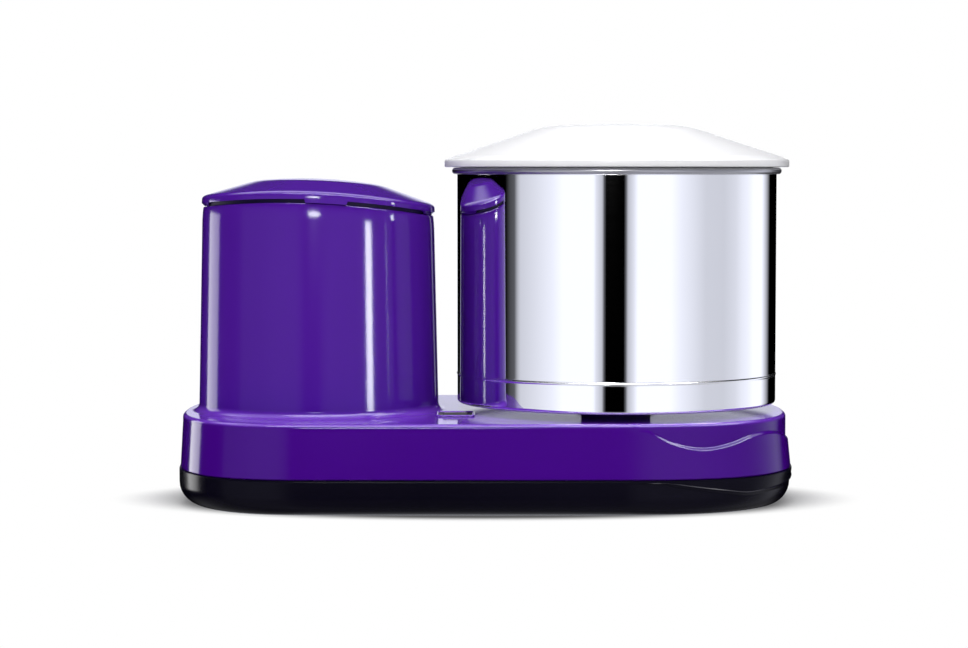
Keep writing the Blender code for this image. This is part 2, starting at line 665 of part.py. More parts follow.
def cap_turns():
    """Angles round the cap, with a point at each edge of each rib, and whether it is on a rib."""
    half_rib = CAP_RIB_WIDTH / TOWER_TOP_RADIUS / 2
    sector = 2 * pi / CAP_RIB_COUNT
    turns = []
    for rib in range(CAP_RIB_COUNT):
        middle = rib * sector - pi / 2 + radians(CAP_RIB_DEGREES)
        for step in range(CAP_RIB_STEPS + 1):
            turns.append((middle - half_rib + 2 * half_rib * step / CAP_RIB_STEPS, True))
        start = middle + half_rib
        span = sector - 2 * half_rib
        for step in range(CAP_SPAN_STEPS):
            share = 0.01 + 0.98 * step / (CAP_SPAN_STEPS - 1)
            turns.append((start + span * share, False))
    return turns


def cap(material, parent):
    """Motor cap: an arched cover that stands on ribs over the rim, with a lip inside the tower."""
    skin = Skin()
    turns = cap_turns()
    edge = TOWER_TOP_RADIUS + CAP_OVERHANG

    def ring(radius, rise):
        return skin.ring(arched([(radius * cos(t), radius * sin(t), rise) for t, _ in turns]))

    def foot(radius):
        points = [(radius * cos(t), radius * sin(t), SEAT_GAP if on_rib else CAP_GAP) for t, on_rib in turns]
        return skin.ring(arched(points))

    band_top = CAP_GAP + CAP_BAND
    flat_rise = CAP_RISE - CAP_CROWN
    outside = [foot(edge), ring(edge, band_top - CAP_BEVEL), ring(edge - CAP_BEVEL, band_top),
               ring(CAP_FLAT_RADIUS, flat_rise), ring(CAP_FLAT_RADIUS / 2, CAP_RISE - CAP_CROWN / 4)]
    wall_inner = edge - CAP_WALL
    eaves = band_top - CAP_WALL
    pitch = (flat_rise - band_top) / (wall_inner - CAP_FLAT_RADIUS)
    lip_outer = TOWER_TOP_RADIUS - TOWER_WALL - CAP_LIP_GAP
    lip_inner = lip_outer - CAP_LIP_WALL
    inside = [foot(wall_inner), ring(wall_inner, eaves),
              ring(lip_outer, eaves + pitch * (wall_inner - lip_outer)),
              ring(lip_outer, -CAP_LIP_DEPTH), ring(lip_inner, -CAP_LIP_DEPTH),
              ring(lip_inner, eaves + pitch * (wall_inner - lip_inner)),
              ring(CAP_FLAT_RADIUS, flat_rise - CAP_WALL)]
    skin.wall(*outside, skin.ring(arched([(0.0, 0.0, CAP_RISE)])))
    skin.wall(*inside, skin.ring(arched([(0.0, 0.0, CAP_RISE - CAP_WALL)])))
    skin.wall(outside[0], inside[0])
    skin.piece("motor_cap", material, parent)


def feet(material):
    """Rubber feet, pushed into the tray: a pad below, a stem through the floor, a bulb above."""
    pad_top = FOOT_STAND - SEAT_GAP
    bulb = TRAY_FLOOR + SEAT_GAP
    profile = [(0.0, 0.0), (FOOT_RADIUS - SEAT_GAP, 0.0), (FOOT_RADIUS, pad_top),
               (FOOT_STEM_RADIUS, pad_top), (FOOT_STEM_RADIUS, bulb), (FOOT_BULB_RADIUS, bulb),
               (FOOT_STEM_RADIUS, bulb + FOOT_BULB_HEIGHT), (0.0, bulb + FOOT_BULB_HEIGHT)]
    for name, (x, y) in FOOT_PLACES.items():
        turned(name, profile, material, steps=SCREW_STEPS * 2, place=(x, y, 0.0))


def screws(name, places, seat, tip, material, parent=None):
    """Screws that come up from below: heads under the seat, shanks up to the tip."""
    head_top = seat - SEAT_GAP
    head_base = head_top - SCREW_HEAD_HEIGHT
    profile = [(0.0, head_base), (SCREW_HEAD_RADIUS, head_base), (SCREW_HEAD_RADIUS, head_top),
               (SCREW_RADIUS, head_top), (SCREW_RADIUS, tip), (0.0, tip)]
    for number, (x, y) in enumerate(places, 1):
        turned(f"{name}_{number}", profile, material, parent, SCREW_STEPS, place=(x, y, 0.0))


def motor_bracket(material, parent):
    """Round plate on three legs, which carries the motor over the belt."""
    skin = Skin()
    steps = SMALL_STEPS
    rims = [skin.ring(circle(PLATE_RADIUS, height, steps)) for height in (PLATE_HEIGHT, PLATE_TOP)]
    bores = [skin.ring(circle(PLATE_HOLE_RADIUS, height, steps)) for height in (PLATE_HEIGHT, PLATE_TOP)]
    skin.wall(*rims)
    skin.wall(*bores)
    holes = [[skin.ring(circle(SCREW_HOLE_RADIUS, height, SCREW_STEPS, place))
              for height in (PLATE_HEIGHT, PLATE_TOP)] for place in MOTOR_SCREW_PLACES]
    for low, high in holes:
        skin.wall(low, high)
    leg_end = TRAY_FLOOR + SEAT_GAP
    legs = [skin.post(place, LEG_RADIUS, PLATE_HEIGHT, leg_end) for place in LEG_PLACES]
    skin.flat(rims[0], bores[0], *[low for low, _ in holes], *legs)
    skin.flat(rims[1], bores[1], *[high for _, high in holes])
    skin.piece("motor_bracket", material, parent)


def footed(name, profile, hole_places, depth, material, parent):
    """A turned piece whose flat underside, from the first point to the second, has screw holes."""
    skin = Skin()
    rings = [skin.ring(circle(radius, height, SMALL_STEPS)) for radius, height in profile]
    skin.wall(*rings[1:], rings[0])
    mouths = [skin.blind_hole(place, profile[0][1], depth) for place in hole_places]
    skin.flat(rings[1], rings[0], *mouths)
    skin.piece(name, material, parent)


def motor_housing(shield_material, parent):
    """The two end shields: cups that hold the shaft's bearings and clamp the stator core."""
    seat = BEARING_RADIUS + SEAT_GAP
    wall_inner = MOTOR_RADIUS - SHIELD_WALL
    lower_top = MOTOR_BASE + SHIELD_HEIGHT
    floor = MOTOR_BASE + SHIELD_FLOOR
    lower = [(seat, MOTOR_BASE), (MOTOR_RADIUS, MOTOR_BASE), (MOTOR_RADIUS, lower_top),
             (wall_inner, lower_top), (wall_inner, floor), (seat, floor)]
    footed("lower_end_shield", lower, MOTOR_SCREW_PLACES, MOTOR_SCREW_DEPTH, shield_material, parent)
    upper_base = STACK_TOP + SEAT_GAP
    ceiling = MOTOR_TOP - UPPER_SHIELD_FLOOR
    seat_base = MOTOR_TOP - BEARING_HEIGHT
    upper = [(seat, MOTOR_TOP), (MOTOR_RADIUS, MOTOR_TOP), (MOTOR_RADIUS, upper_base),
             (wall_inner, upper_base), (wall_inner, ceiling), (seat + BEARING_SEAT_WALL, ceiling),
             (seat + BEARING_SEAT_WALL, seat_base), (seat, seat_base)]
    turned("upper_end_shield", upper, shield_material, parent, SMALL_STEPS)


def motor_fixed_parts(steel, copper, parent):
    """Stator core, its two winding heads and the two bearings."""
    turned("stator_core", tube(MOTOR_BORE_RADIUS, MOTOR_RADIUS, STACK_BASE, STACK_TOP), steel, parent,
           SMALL_STEPS)
    lower_winding = tube(WINDING_INNER_RADIUS, WINDING_OUTER_RADIUS,
                         MOTOR_BASE + SHIELD_FLOOR + WINDING_MARGIN, STACK_BASE - SEAT_GAP)
    upper_winding = tube(WINDING_INNER_RADIUS, WINDING_OUTER_RADIUS, STACK_TOP + SEAT_GAP,
                         MOTOR_TOP - UPPER_SHIELD_FLOOR - WINDING_MARGIN)
    turned("lower_winding", lower_winding, copper, parent, SMALL_STEPS)
    turned("upper_winding", upper_winding, copper, parent, SMALL_STEPS)
    bearing_bore = SHAFT_RADIUS + RUN_GAP
    lower_bearing = tube(bearing_bore, BEARING_RADIUS, MOTOR_BASE, MOTOR_BASE + BEARING_HEIGHT)
    upper_bearing = tube(bearing_bore, BEARING_RADIUS, MOTOR_TOP - BEARING_HEIGHT, MOTOR_TOP)
    turned("lower_motor_bearing", lower_bearing, steel, parent, SMALL_STEPS)
    turned("upper_motor_bearing", upper_bearing, steel, parent, SMALL_STEPS)


def fan(material, parent):
    """Cooling fan on the shaft's upper end: a hub with straight blades."""
    half = FAN_BLADE_THICKNESS / 2
    points = []
    for blade in range(FAN_BLADE_COUNT):
        turn = 2 * pi * blade / FAN_BLADE_COUNT
        for along, across in ((FAN_HUB_RADIUS, -half), (FAN_RADIUS, -half), (FAN_RADIUS, half),
                              (FAN_HUB_RADIUS, half)):
            x = along * cos(turn) - across * sin(turn)
            y = along * sin(turn) + across * cos(turn)
            points.append((x, y, 0.0))
    bore = circle(SHAFT_RADIUS + SHAFT_FIT, 0.0, SMALL_STEPS)
    prism("cooling_fan", points, [bore], FAN_BASE, FAN_BASE + FAN_HEIGHT, material, parent)


def groove(radius):
    """Half of a pulley's rim, from its flange down to the groove's floor, as seen in section."""
    flange = radius + GROOVE_DEPTH
    level = BELT_LEVEL
    rim = GROOVE_HALF_MOUTH + PULLEY_RIM_MARGIN
    return [(flange, level - rim), (flange, level - GROOVE_HALF_MOUTH), (radius, level - GROOVE_HALF_FLOOR),
            (radius, level + GROOVE_HALF_FLOOR), (flange, level + GROOVE_HALF_MOUTH), (flange, level + rim)]


def rotor(steel, nylon, parent):
    """All that turns with the motor: shaft, rotor core, fan and the small pulley."""
    low = TRAY_FLOOR + SHAFT_END_GAP
    high = FAN_BASE + FAN_HEIGHT + SHAFT_TOP_MARGIN
    turned("motor_shaft", [(0.0, low), (SHAFT_RADIUS, low), (SHAFT_RADIUS, high), (0.0, high)], steel,
           parent, SMALL_STEPS)
    core = tube(SHAFT_RADIUS + SHAFT_FIT, ROTOR_RADIUS, STACK_BASE + SEAT_GAP, STACK_TOP - SEAT_GAP)
    turned("rotor_core", core, steel, parent, SMALL_STEPS)
    fan(nylon, parent)
    rim = groove(SMALL_GROOVE_RADIUS)
    bore = SHAFT_RADIUS + SHAFT_FIT
    turned("motor_pulley", [(bore, rim[0][1]), *rim, (bore, rim[-1][1])], steel, parent, SMALL_STEPS)


def electrics(aluminium, black, parent):
    """Run capacitor with its clamp, and the terminal block, standing on the tray."""
    low = TRAY_FLOOR + SEAT_GAP
    top = DECK_UNDERSIDE - CAPACITOR_HEADROOM
    spot = (ELECTRICS_X, FLOOR_HALF_DEPTH - CAPACITOR_RADIUS - CAPACITOR_INSET, 0.0)
    can = [(0.0, low), (CAPACITOR_RADIUS, low), (CAPACITOR_RADIUS, top - CAPACITOR_EDGE),
           (CAPACITOR_RADIUS - CAPACITOR_EDGE, top), (0.0, top)]
    turned("run_capacitor", can, aluminium, parent, SMALL_STEPS, place=spot)
    band = CAPACITOR_RADIUS + SHAFT_FIT
    level = low + CLAMP_RISE
    turned("capacitor_clamp", tube(band, band + CLAMP_THICKNESS, level, level + CLAMP_HEIGHT), black,
           parent, SMALL_STEPS, place=spot)
    way = TERMINAL_LENGTH / TERMINAL_COUNT
    block = rectangle(TERMINAL_LENGTH / 2, TERMINAL_WIDTH / 2, 0.0)
    half_hole = (way / 2 - TERMINAL_WALL, TERMINAL_WIDTH / 2 - TERMINAL_WALL)
    holes = []
    for i in range(TERMINAL_COUNT):
        middle = way * (i + 1 / 2) - TERMINAL_LENGTH / 2
        holes.append(rectangle(*half_hole, 0.0, (middle, 0.0)))
    across = TERMINAL_WIDTH / 2 + TERMINAL_INSET - FLOOR_HALF_DEPTH
    prism("terminal_block", block, holes, low, low + TERMINAL_HEIGHT, black, parent,
          place=(ELECTRICS_X, across, 0.0))


def belt_path(extra, level):
    """The belt's loop round both grooves, extra outside their floors."""
    lean = asin((BIG_GROOVE_RADIUS - SMALL_GROOVE_RADIUS) / AXIS_DISTANCE)
    points = []
    arcs = ((DRUM_X, BIG_GROOVE_RADIUS, -pi / 2 - lean, pi / 2 + lean, BELT_BIG_STEPS),
            (MOTOR_X, SMALL_GROOVE_RADIUS, pi / 2 + lean, 3 * pi / 2 - lean, BELT_SMALL_STEPS))
    for centre, radius, start, end, steps in arcs:
        for step in range(steps + 1):
            turn = start + (end - start) * step / steps
            points.append((centre + (radius + extra) * cos(turn), (radius + extra) * sin(turn), level))
    return points


def belt(material):
    """V-belt: a wedge section, narrow towards the grooves."""
    skin = Skin()
    slope = (GROOVE_HALF_MOUTH - GROOVE_HALF_FLOOR) / GROOVE_DEPTH
    inside, outside = BELT_GAP, BELT_GAP + BELT_DEPTH
    rings = []
    for depth, side in ((inside, -1), (outside, -1), (outside, 1), (inside, 1)):
        half = GROOVE_HALF_FLOOR + slope * depth - BELT_GAP
        rings.append(skin.ring(belt_path(depth, BELT_LEVEL + side * half)))
    skin.wall(*rings, rings[0])
    skin.piece("drive_belt", material)


def spindle_parts(steel, iron, parent):
    """The fixed spindle and the bracket that holds it on the tray."""
    base = TRAY_FLOOR + SEAT_GAP
    flange = base + BRACKET_FLANGE
    profile = [(BORE_GAP_RADIUS, base), (BRACKET_RADIUS, base), (BRACKET_RADIUS, flange),
               (BRACKET_BOSS_RADIUS, flange), (BRACKET_BOSS_RADIUS, BRACKET_TOP),
               (BORE_GAP_RADIUS, BRACKET_TOP)]
    footed("spindle_bracket", profile, BRACKET_SCREW_PLACES, BRACKET_FLANGE - SCREW_HEAD_HEIGHT, iron, parent)
    low = base + SPINDLE_FOOT_GAP
    turned("spindle", [(0.0, low), (SPINDLE_RADIUS, low), (SPINDLE_RADIUS, SPINDLE_TOP - SPINDLE_BEVEL),
                       (SPINDLE_RADIUS - SPINDLE_BEVEL, SPINDLE_TOP), (0.0, SPINDLE_TOP)], steel, parent,
           SMALL_STEPS)


def turntable(nylon, steel, iron, parent):
    """All that turns under the deck at the drum's speed: pulley, its bearings and the coupler."""
    bore = HUB_BEARING_RADIUS + SHAFT_FIT
    rim = groove(BIG_GROOVE_RADIUS)
    inner_rim = BIG_GROOVE_RADIUS - PULLEY_RIM_DEPTH
    web_low, web_high = BELT_LEVEL - PULLEY_WEB / 2, BELT_LEVEL + PULLEY_WEB / 2
    profile = [(bore, HUB_BASE), (HUB_RADIUS, HUB_BASE), (HUB_RADIUS, web_low), (inner_rim, web_low),
               (inner_rim, rim[0][1]), *rim, (inner_rim, rim[-1][1]), (inner_rim, web_high),
               (HUB_RADIUS, web_high), (HUB_RADIUS, HUB_TOP), (bore, HUB_TOP)]
    turned("drum_pulley", profile, nylon, parent, WHEEL_STEPS)
    lower = tube(BORE_GAP_RADIUS, HUB_BEARING_RADIUS, HUB_BASE, HUB_BASE + HUB_BEARING_HEIGHT)
    upper = tube(BORE_GAP_RADIUS, HUB_BEARING_RADIUS, HUB_TOP - HUB_BEARING_HEIGHT, HUB_TOP)
    turned("lower_hub_bearing", lower, steel, parent, SMALL_STEPS)
    turned("upper_hub_bearing", upper, steel, parent, SMALL_STEPS)
    coupler(iron, parent)


def coupler(material, parent):
    """Drive coupler: a round flange on the hub with a hexagon on top that fits the drum's socket."""
    skin = Skin()
    flange_top = COUPLER_BASE + COUPLER_FLANGE
    top = flange_top + COUPLER_HEX_HEIGHT
    flange = [skin.ring(circle(COUPLER_FLANGE_RADIUS, height, SMALL_STEPS))
              for height in (COUPLER_BASE, flange_top)]
    hexagon = [skin.ring(circle(COUPLER_HEX_RADIUS, height, 6)) for height in (flange_top, top)]
    bore = [skin.ring(circle(BORE_GAP_RADIUS, height, SMALL_STEPS)) for height in (COUPLER_BASE, top)]
    for rings in (flange, hexagon, bore):
        skin.wall(*rings)
    skin.flat(flange[0], bore[0])
    skin.flat(flange[1], hexagon[0])
    skin.flat(hexagon[1], bore[1])
    skin.piece("drive_coupler", material, parent)


def drum_profile():
    """The drum's section: up the outside, over the rolled rim and down the inside."""
    corner = DRUM_CORNER_RADIUS
    inner = DRUM_INNER_RADIUS
    profile = [(PIPE_BORE_RADIUS, DRUM_BOTTOM)]
    for step in range(FILLET_STEPS + 1):
        turn = pi / 2 * step / FILLET_STEPS
        profile.append((DRUM_RADIUS - corner * (1 - sin(turn)), DRUM_BOTTOM + corner * (1 - cos(turn))))
    for lift, out in ((-1, 0), (0, 1), (1, 0)):
        profile.append((DRUM_RADIUS + out * BEAD_DEPTH, BEAD_LEVEL + lift * BEAD_HALF_HEIGHT))
    roll_centre = DRUM_RADIUS + RIM_ROLL_RADIUS - DRUM_WALL
    for step in range(RIM_STEPS + 1):
        turn = radians(240) + radians(300) * step / RIM_STEPS
        profile.append((roll_centre + RIM_ROLL_RADIUS * cos(turn),
                        DRUM_RIM_LEVEL + RIM_ROLL_RADIUS * sin(turn)))
    inner_corner = corner - DRUM_WALL
    for step in range(FILLET_STEPS + 1):
        turn = pi / 2 * step / FILLET_STEPS
        profile.append((inner - inner_corner * (1 - cos(turn)), DRUM_FLOOR + inner_corner * (1 - sin(turn))))
    profile.append((PIPE_BORE_RADIUS, DRUM_FLOOR))
    return profile


def drum_socket(material, parent):
    """Ring under the drum with a hexagonal hole that fits over the coupler."""
    skin = Skin()
    high = DRUM_BOTTOM - SEAT_GAP
    levels = (high - SOCKET_DEPTH, high)
    outside = [skin.ring(circle(SOCKET_RADIUS, height, SMALL_STEPS)) for height in levels]
    inside = [skin.ring(circle(COUPLER_HEX_RADIUS + SOCKET_GAP, height, 6)) for height in levels]
    skin.wall(*outside)
    skin.wall(*inside)
    for outer, inner in zip(outside, inside):
        skin.flat(outer, inner)
    skin.piece("drum_socket", material, parent)


def drum_parts(stainless, iron, granite, parent):
    """The drum, with its socket below, and its pipe and base stone inside."""
    turned("drum", drum_profile(), stainless, parent)
    drum_socket(iron, parent)
    flange_top = STONE_BASE + PIPE_FLANGE
    pipe = [(PIPE_BORE_RADIUS, STONE_BASE), (PIPE_FLANGE_RADIUS, STONE_BASE),
            (PIPE_FLANGE_RADIUS, flange_top), (PIPE_RADIUS, flange_top), (PIPE_RADIUS, PIPE_TOP),
            (PIPE_BORE_RADIUS, PIPE_TOP)]
    turned("drum_pipe", pipe, stainless, parent, SMALL_STEPS)
    inner = PIPE_FLANGE_RADIUS + SEAT_GAP
    # the drum's rounded corner takes the stone's lower edge
    foot = STONE_RADIUS - DRUM_CORNER_RADIUS
    stone = [(inner, STONE_BASE), (foot, STONE_BASE), (STONE_RADIUS, STONE_BASE + DRUM_CORNER_RADIUS),
             (STONE_RADIUS, STONE_TOP - STONE_BEVEL), (STONE_RADIUS - STONE_BEVEL, STONE_TOP),
             (inner, STONE_TOP)]
    turned("base_stone", stone, granite, parent, WHEEL_STEPS)


def roller(side, way, granite, nylon):
    """One grinding roller with the bush it turns on, along +X or -X from the drum axis."""
    centre = axis(side + "_roller_axis", DRUM_X + way * ROLLER_OFFSET, 0.0, AXLE_LEVEL)
    half = ROLLER_LENGTH / 2
    edge = ROLLER_RADIUS - ROLLER_BEVEL
    stone = [(ROLLER_BORE_RADIUS, -half), (edge, -half), (ROLLER_RADIUS, ROLLER_BEVEL - half),
             (ROLLER_RADIUS, half - ROLLER_BEVEL), (edge, half), (ROLLER_BORE_RADIUS, half)]
    lying = (0.0, pi / 2, 0.0)
    turned(side + "_roller_stone", stone, granite, centre, WHEEL_STEPS, spin=lying)
    bush = tube(AXLE_RADIUS + RUN_GAP, ROLLER_BORE_RADIUS - SHAFT_FIT, -BUSH_LENGTH / 2, BUSH_LENGTH / 2)
    turned(side + "_roller_bush", bush, nylon, centre, SMALL_STEPS, spin=lying)


def axles(steel, parent):
    """The two axles, screwed into the holder's sides, and the nuts on their outer ends."""
    start = HOLDER_RADIUS + SEAT_GAP
    collar = ROLLER_OFFSET - BUSH_LENGTH / 2 - SEAT_GAP
    end = ROLLER_OFFSET + BUSH_LENGTH / 2 + AXLE_THREAD
    profile = [(0.0, start), (AXLE_RADIUS, start), (AXLE_RADIUS, collar - AXLE_COLLAR),
               (AXLE_COLLAR_RADIUS, collar - AXLE_COLLAR), (AXLE_COLLAR_RADIUS, collar),
               (AXLE_RADIUS, collar), (AXLE_RADIUS, end), (0.0, end)]
    for side, way in (("right", 1), ("left", -1)):
        turned(side + "_axle", profile, steel, parent, SMALL_STEPS, place=(0.0, 0.0, AXLE_LEVEL),
               spin=(0.0, way * pi / 2, 0.0))
        nut_base = ROLLER_OFFSET + BUSH_LENGTH / 2 + SEAT_GAP
        bore = circle(AXLE_RADIUS + SHAFT_FIT, 0.0, SMALL_STEPS)
        prism(side + "_axle_nut", circle(NUT_RADIUS, 0.0, 6), [bore], nut_base, nut_base + NUT_THICKNESS,
              steel, parent, place=(0.0, 0.0, AXLE_LEVEL), spin=(0.0, way * pi / 2, 0.0))


def scraper(arm_material, blade_material, parent):
    """Arm round the holder's neck, and the upright blade at its end that wipes the drum's wall."""
    hole = HOLDER_RADIUS + SEAT_GAP
    ring = hole + SCRAPER_RING_WALL
    half = SCRAPER_ARM_HALF_WIDTH
    open_turn = asin(half / ring)
    steps = SMALL_STEPS
    points = [(half, SCRAPER_REACH, 0.0), (-half, SCRAPER_REACH, 0.0)]
    for step in range(steps + 1):
        turn = pi / 2 + open_turn + (2 * pi - 2 * open_turn) * step / steps
        points.append((ring * cos(turn), ring * sin(turn), 0.0))
    top = SCRAPER_LEVEL + SCRAPER_ARM_THICKNESS
    prism("scraper_arm", points, [circle(hole, 0.0, steps)], SCRAPER_LEVEL, top, arm_material, parent)
    near = SCRAPER_REACH - SCRAPER_BLADE_DEPTH
    wide = SCRAPER_BLADE_HALF_WIDTH
    blade = [(-wide, near, 0.0), (wide, near, 0.0), (wide + SCRAPER_BLADE_SKEW, SCRAPER_REACH, 0.0),
             (SCRAPER_BLADE_SKEW - wide, SCRAPER_REACH, 0.0)]
    prism("scraper_blade", blade, [], STONE_TOP + SCRAPER_LIFT, SCRAPER_LEVEL - SEAT_GAP,
          blade_material, parent)


def holder(steel, parent):
    """Holder hub: the sleeve that stands still on the spindle and carries the axles."""
    low = PIPE_TOP + HOLDER_GAP
    edge = HOLDER_RADIUS - HOLDER_BEVEL
    profile = [(BORE_GAP_RADIUS, low), (edge, low), (HOLDER_RADIUS, low + HOLDER_BEVEL),
               (HOLDER_RADIUS, HOLDER_TOP - HOLDER_BEVEL), (edge, HOLDER_TOP), (BORE_GAP_RADIUS, HOLDER_TOP)]
    turned("holder_hub", profile, steel, parent, SMALL_STEPS)


def knob(material, parent):
    """Lock knob on the spindle's top, with shallow lobes for the fingers."""
    skin = Skin()
    low = HOLDER_TOP + SEAT_GAP
    high = low + KNOB_HEIGHT

    def lobed(radius, height):
        points = []
        for x, y, z in circle(1.0, height, ROUND_STEPS):
            index = len(points)
            size = radius - KNOB_LOBE_DEPTH / 2 * (1 - cos(2 * pi * index * KNOB_LOBE_COUNT / ROUND_STEPS))
            points.append((size * x, size * y, z))
        return skin.ring(points)

    rings = [lobed(KNOB_RADIUS, low), lobed(KNOB_RADIUS, high - KNOB_CROWN),
             lobed(KNOB_RADIUS - KNOB_CROWN, high)]
    skin.lid(skin.wall(*rings))
    mouth = skin.ring(circle(BORE_GAP_RADIUS, low, SMALL_STEPS))
    skin.lid(skin.wall(mouth, skin.ring(circle(BORE_GAP_RADIUS, low + KNOB_BORE_DEPTH, SMALL_STEPS))))
    skin.flat(rings[0], mouth)
    skin.piece("lock_knob", material, parent)


def lid(material, parent):
    """Lid: a brim that rests on the drum's rim, a cone, and a raised middle that is almost flat."""
    base = LID_BASE
    lip = DRUM_INNER_RADIUS - LID_LIP_GAP
    lip_inner = lip - LID_WALL
    half_crown = LID_RISE - (LID_RISE - LID_FLAT_RISE) / 3
    profile = [(0.0, base + LID_RISE), (LID_FLAT_RADIUS / 2, base + half_crown),
               (LID_FLAT_RADIUS, base + LID_FLAT_RISE),
               (LID_RADIUS - LID_BRIM_WIDTH, base + LID_SHOULDER_RISE),
               (LID_RADIUS - LID_BRIM_BEVEL, base + LID_BRIM),
               (LID_RADIUS, base + LID_BRIM - LID_BRIM_BEVEL), (LID_RADIUS, base), (lip, base),
               (lip, base - LID_LIP_DEPTH), (lip_inner, base - LID_LIP_DEPTH),
               (lip_inner, base + LID_SHOULDER_RISE - LID_WALL),
               (LID_FLAT_RADIUS, base + LID_FLAT_RISE - LID_WALL), (0.0, base + LID_RISE - LID_WALL)]
    turned("lid", profile, material, parent)


def switch_housing(material):
    """The switch's frame on the deck and its box below, with a well for the rocker."""
    skin = Skin()
    centre = (SWITCH_X, SWITCH_Y)
    box = (SWITCH_HALF_WIDTH - SEAT_GAP, SWITCH_HALF_LENGTH - SEAT_GAP)
    frame = (SWITCH_HALF_WIDTH + SWITCH_FRAME, SWITCH_HALF_LENGTH + SWITCH_FRAME)
    well = (box[0] - SWITCH_WALL, box[1] - SWITCH_WALL)
    seat = DECK_HEIGHT + SEAT_GAP
    top = seat + SWITCH_FRAME_HEIGHT

    def ring(size, height):
        return skin.ring(rectangle(size[0], size[1], height, centre))

    rings = [ring(box, seat - SWITCH_DEPTH), ring(box, seat), ring(frame, seat), ring(frame, top),
             ring(well, top), ring(well, seat - SWITCH_WELL)]
    skin.lid(rings[0])
    skin.lid(skin.wall(*rings))
    skin.piece("switch_housing", material)


def switch_rocker(material):
    """The rocker: a shallow V on its pivot, one end pressed down."""
    pivot = axis("switch_pivot", SWITCH_X, SWITCH_Y, DECK_HEIGHT)
    half_width = SWITCH_HALF_WIDTH - SEAT_GAP - SWITCH_WALL - ROCKER_GAP
    tilt = radians(ROCKER_TILT_DEGREES)
    room = SWITCH_HALF_LENGTH - SEAT_GAP - SWITCH_WALL - ROCKER_GAP
    half_length = (room - ROCKER_TIP * sin(tilt)) / cos(tilt)
    section = [(-half_length, -ROCKER_HEEL), (half_length, -ROCKER_HEEL), (half_length, ROCKER_TIP),
               (0.0, ROCKER_VALLEY), (-half_length, ROCKER_TIP)]
    skin = Skin()
    ends = [skin.ring([(x, y, z) for y, z in section]) for x in (-half_width, half_width)]
    skin.wall(*ends)
    for end in ends:
        skin.lid(end)
    skin.piece("switch_rocker", material, pivot, spin=(-tilt, 0.0, 0.0))


def build():
    clear_scene()
    purple = finish("purple_gloss", (0.075, 0.018, 0.30), 0.12)
    black = finish("black_gloss", (0.006, 0.005, 0.010), 0.22)
    stainless = finish("polished_stainless", (0.80, 0.81, 0.82), 0.06, 1.0)
    white = finish("white_gloss", (0.86, 0.86, 0.87), 0.25)
    steel = finish("turned_steel", (0.52, 0.53, 0.54), 0.32, 1.0)
    sheet_steel = finish("zinc_sheet", (0.60, 0.61, 0.62), 0.42, 1.0)
    screw_steel = finish("zinc_screws", (0.56, 0.56, 0.55), 0.38, 1.0)
    iron = finish("cast_iron", (0.10, 0.10, 0.11), 0.62, 0.6)
    aluminium = finish("cast_aluminium", (0.66, 0.67, 0.68), 0.45, 1.0)
    copper = finish("lacquered_copper", (0.48, 0.16, 0.06), 0.38, 0.7)
    granite = finish("granite", (0.16, 0.16, 0.17), 0.60)
    rubber = finish("black_rubber", (0.018, 0.018, 0.018), 0.80)
    nylon = finish("grey_nylon", (0.25, 0.25, 0.26), 0.50)
    dark_plastic = finish("dark_plastic", (0.03, 0.03, 0.035), 0.40)

    tray(black)
    shell = body_shell(purple)
    cut_gland_hole(shell, dark_plastic)
    motor_axis = axis("motor_axis", MOTOR_X)
    drum_axis = axis("drum_axis", DRUM_X)
    cap(purple, motor_axis)
    gland(dark_plastic, motor_axis)
    feet(rubber)
    screws("tray_screw", BOSS_PLACES, FOOT_STAND, TRAY_FLOOR + SCREW_BITE, screw_steel)
    screws("leg_screw", LEG_PLACES, FOOT_STAND, TRAY_FLOOR + SCREW_BITE, screw_steel, motor_axis)
    screws("spindle_bracket_screw", BRACKET_SCREW_PLACES, FOOT_STAND, TRAY_FLOOR + SCREW_BITE, screw_steel,
           drum_axis)

    motor_bracket(sheet_steel, motor_axis)
    screws("motor_screw", MOTOR_SCREW_PLACES, PLATE_HEIGHT, MOTOR_BASE + MOTOR_SCREW_BITE, screw_steel,
           motor_axis)
    motor_housing(aluminium, motor_axis)
    motor_fixed_parts(steel, copper, motor_axis)
    rotor(steel, nylon, motor_axis)
    electrics(aluminium, dark_plastic, motor_axis)

    belt(rubber)
    spindle_parts(steel, iron, drum_axis)
    turntable(nylon, steel, iron, drum_axis)
    drum_parts(stainless, iron, granite, drum_axis)
    roller("right", 1, granite, nylon)
    roller("left", -1, granite, nylon)
    axles(steel, drum_axis)
    holder(stainless, drum_axis)
    scraper(sheet_steel, white, drum_axis)
    knob(dark_plastic, drum_axis)
    lid(white, drum_axis)
    switch_housing(dark_plastic)
    switch_rocker(dark_plastic)


build()
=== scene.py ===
import json
from math import copysign, cos, pi, radians, sin, tan

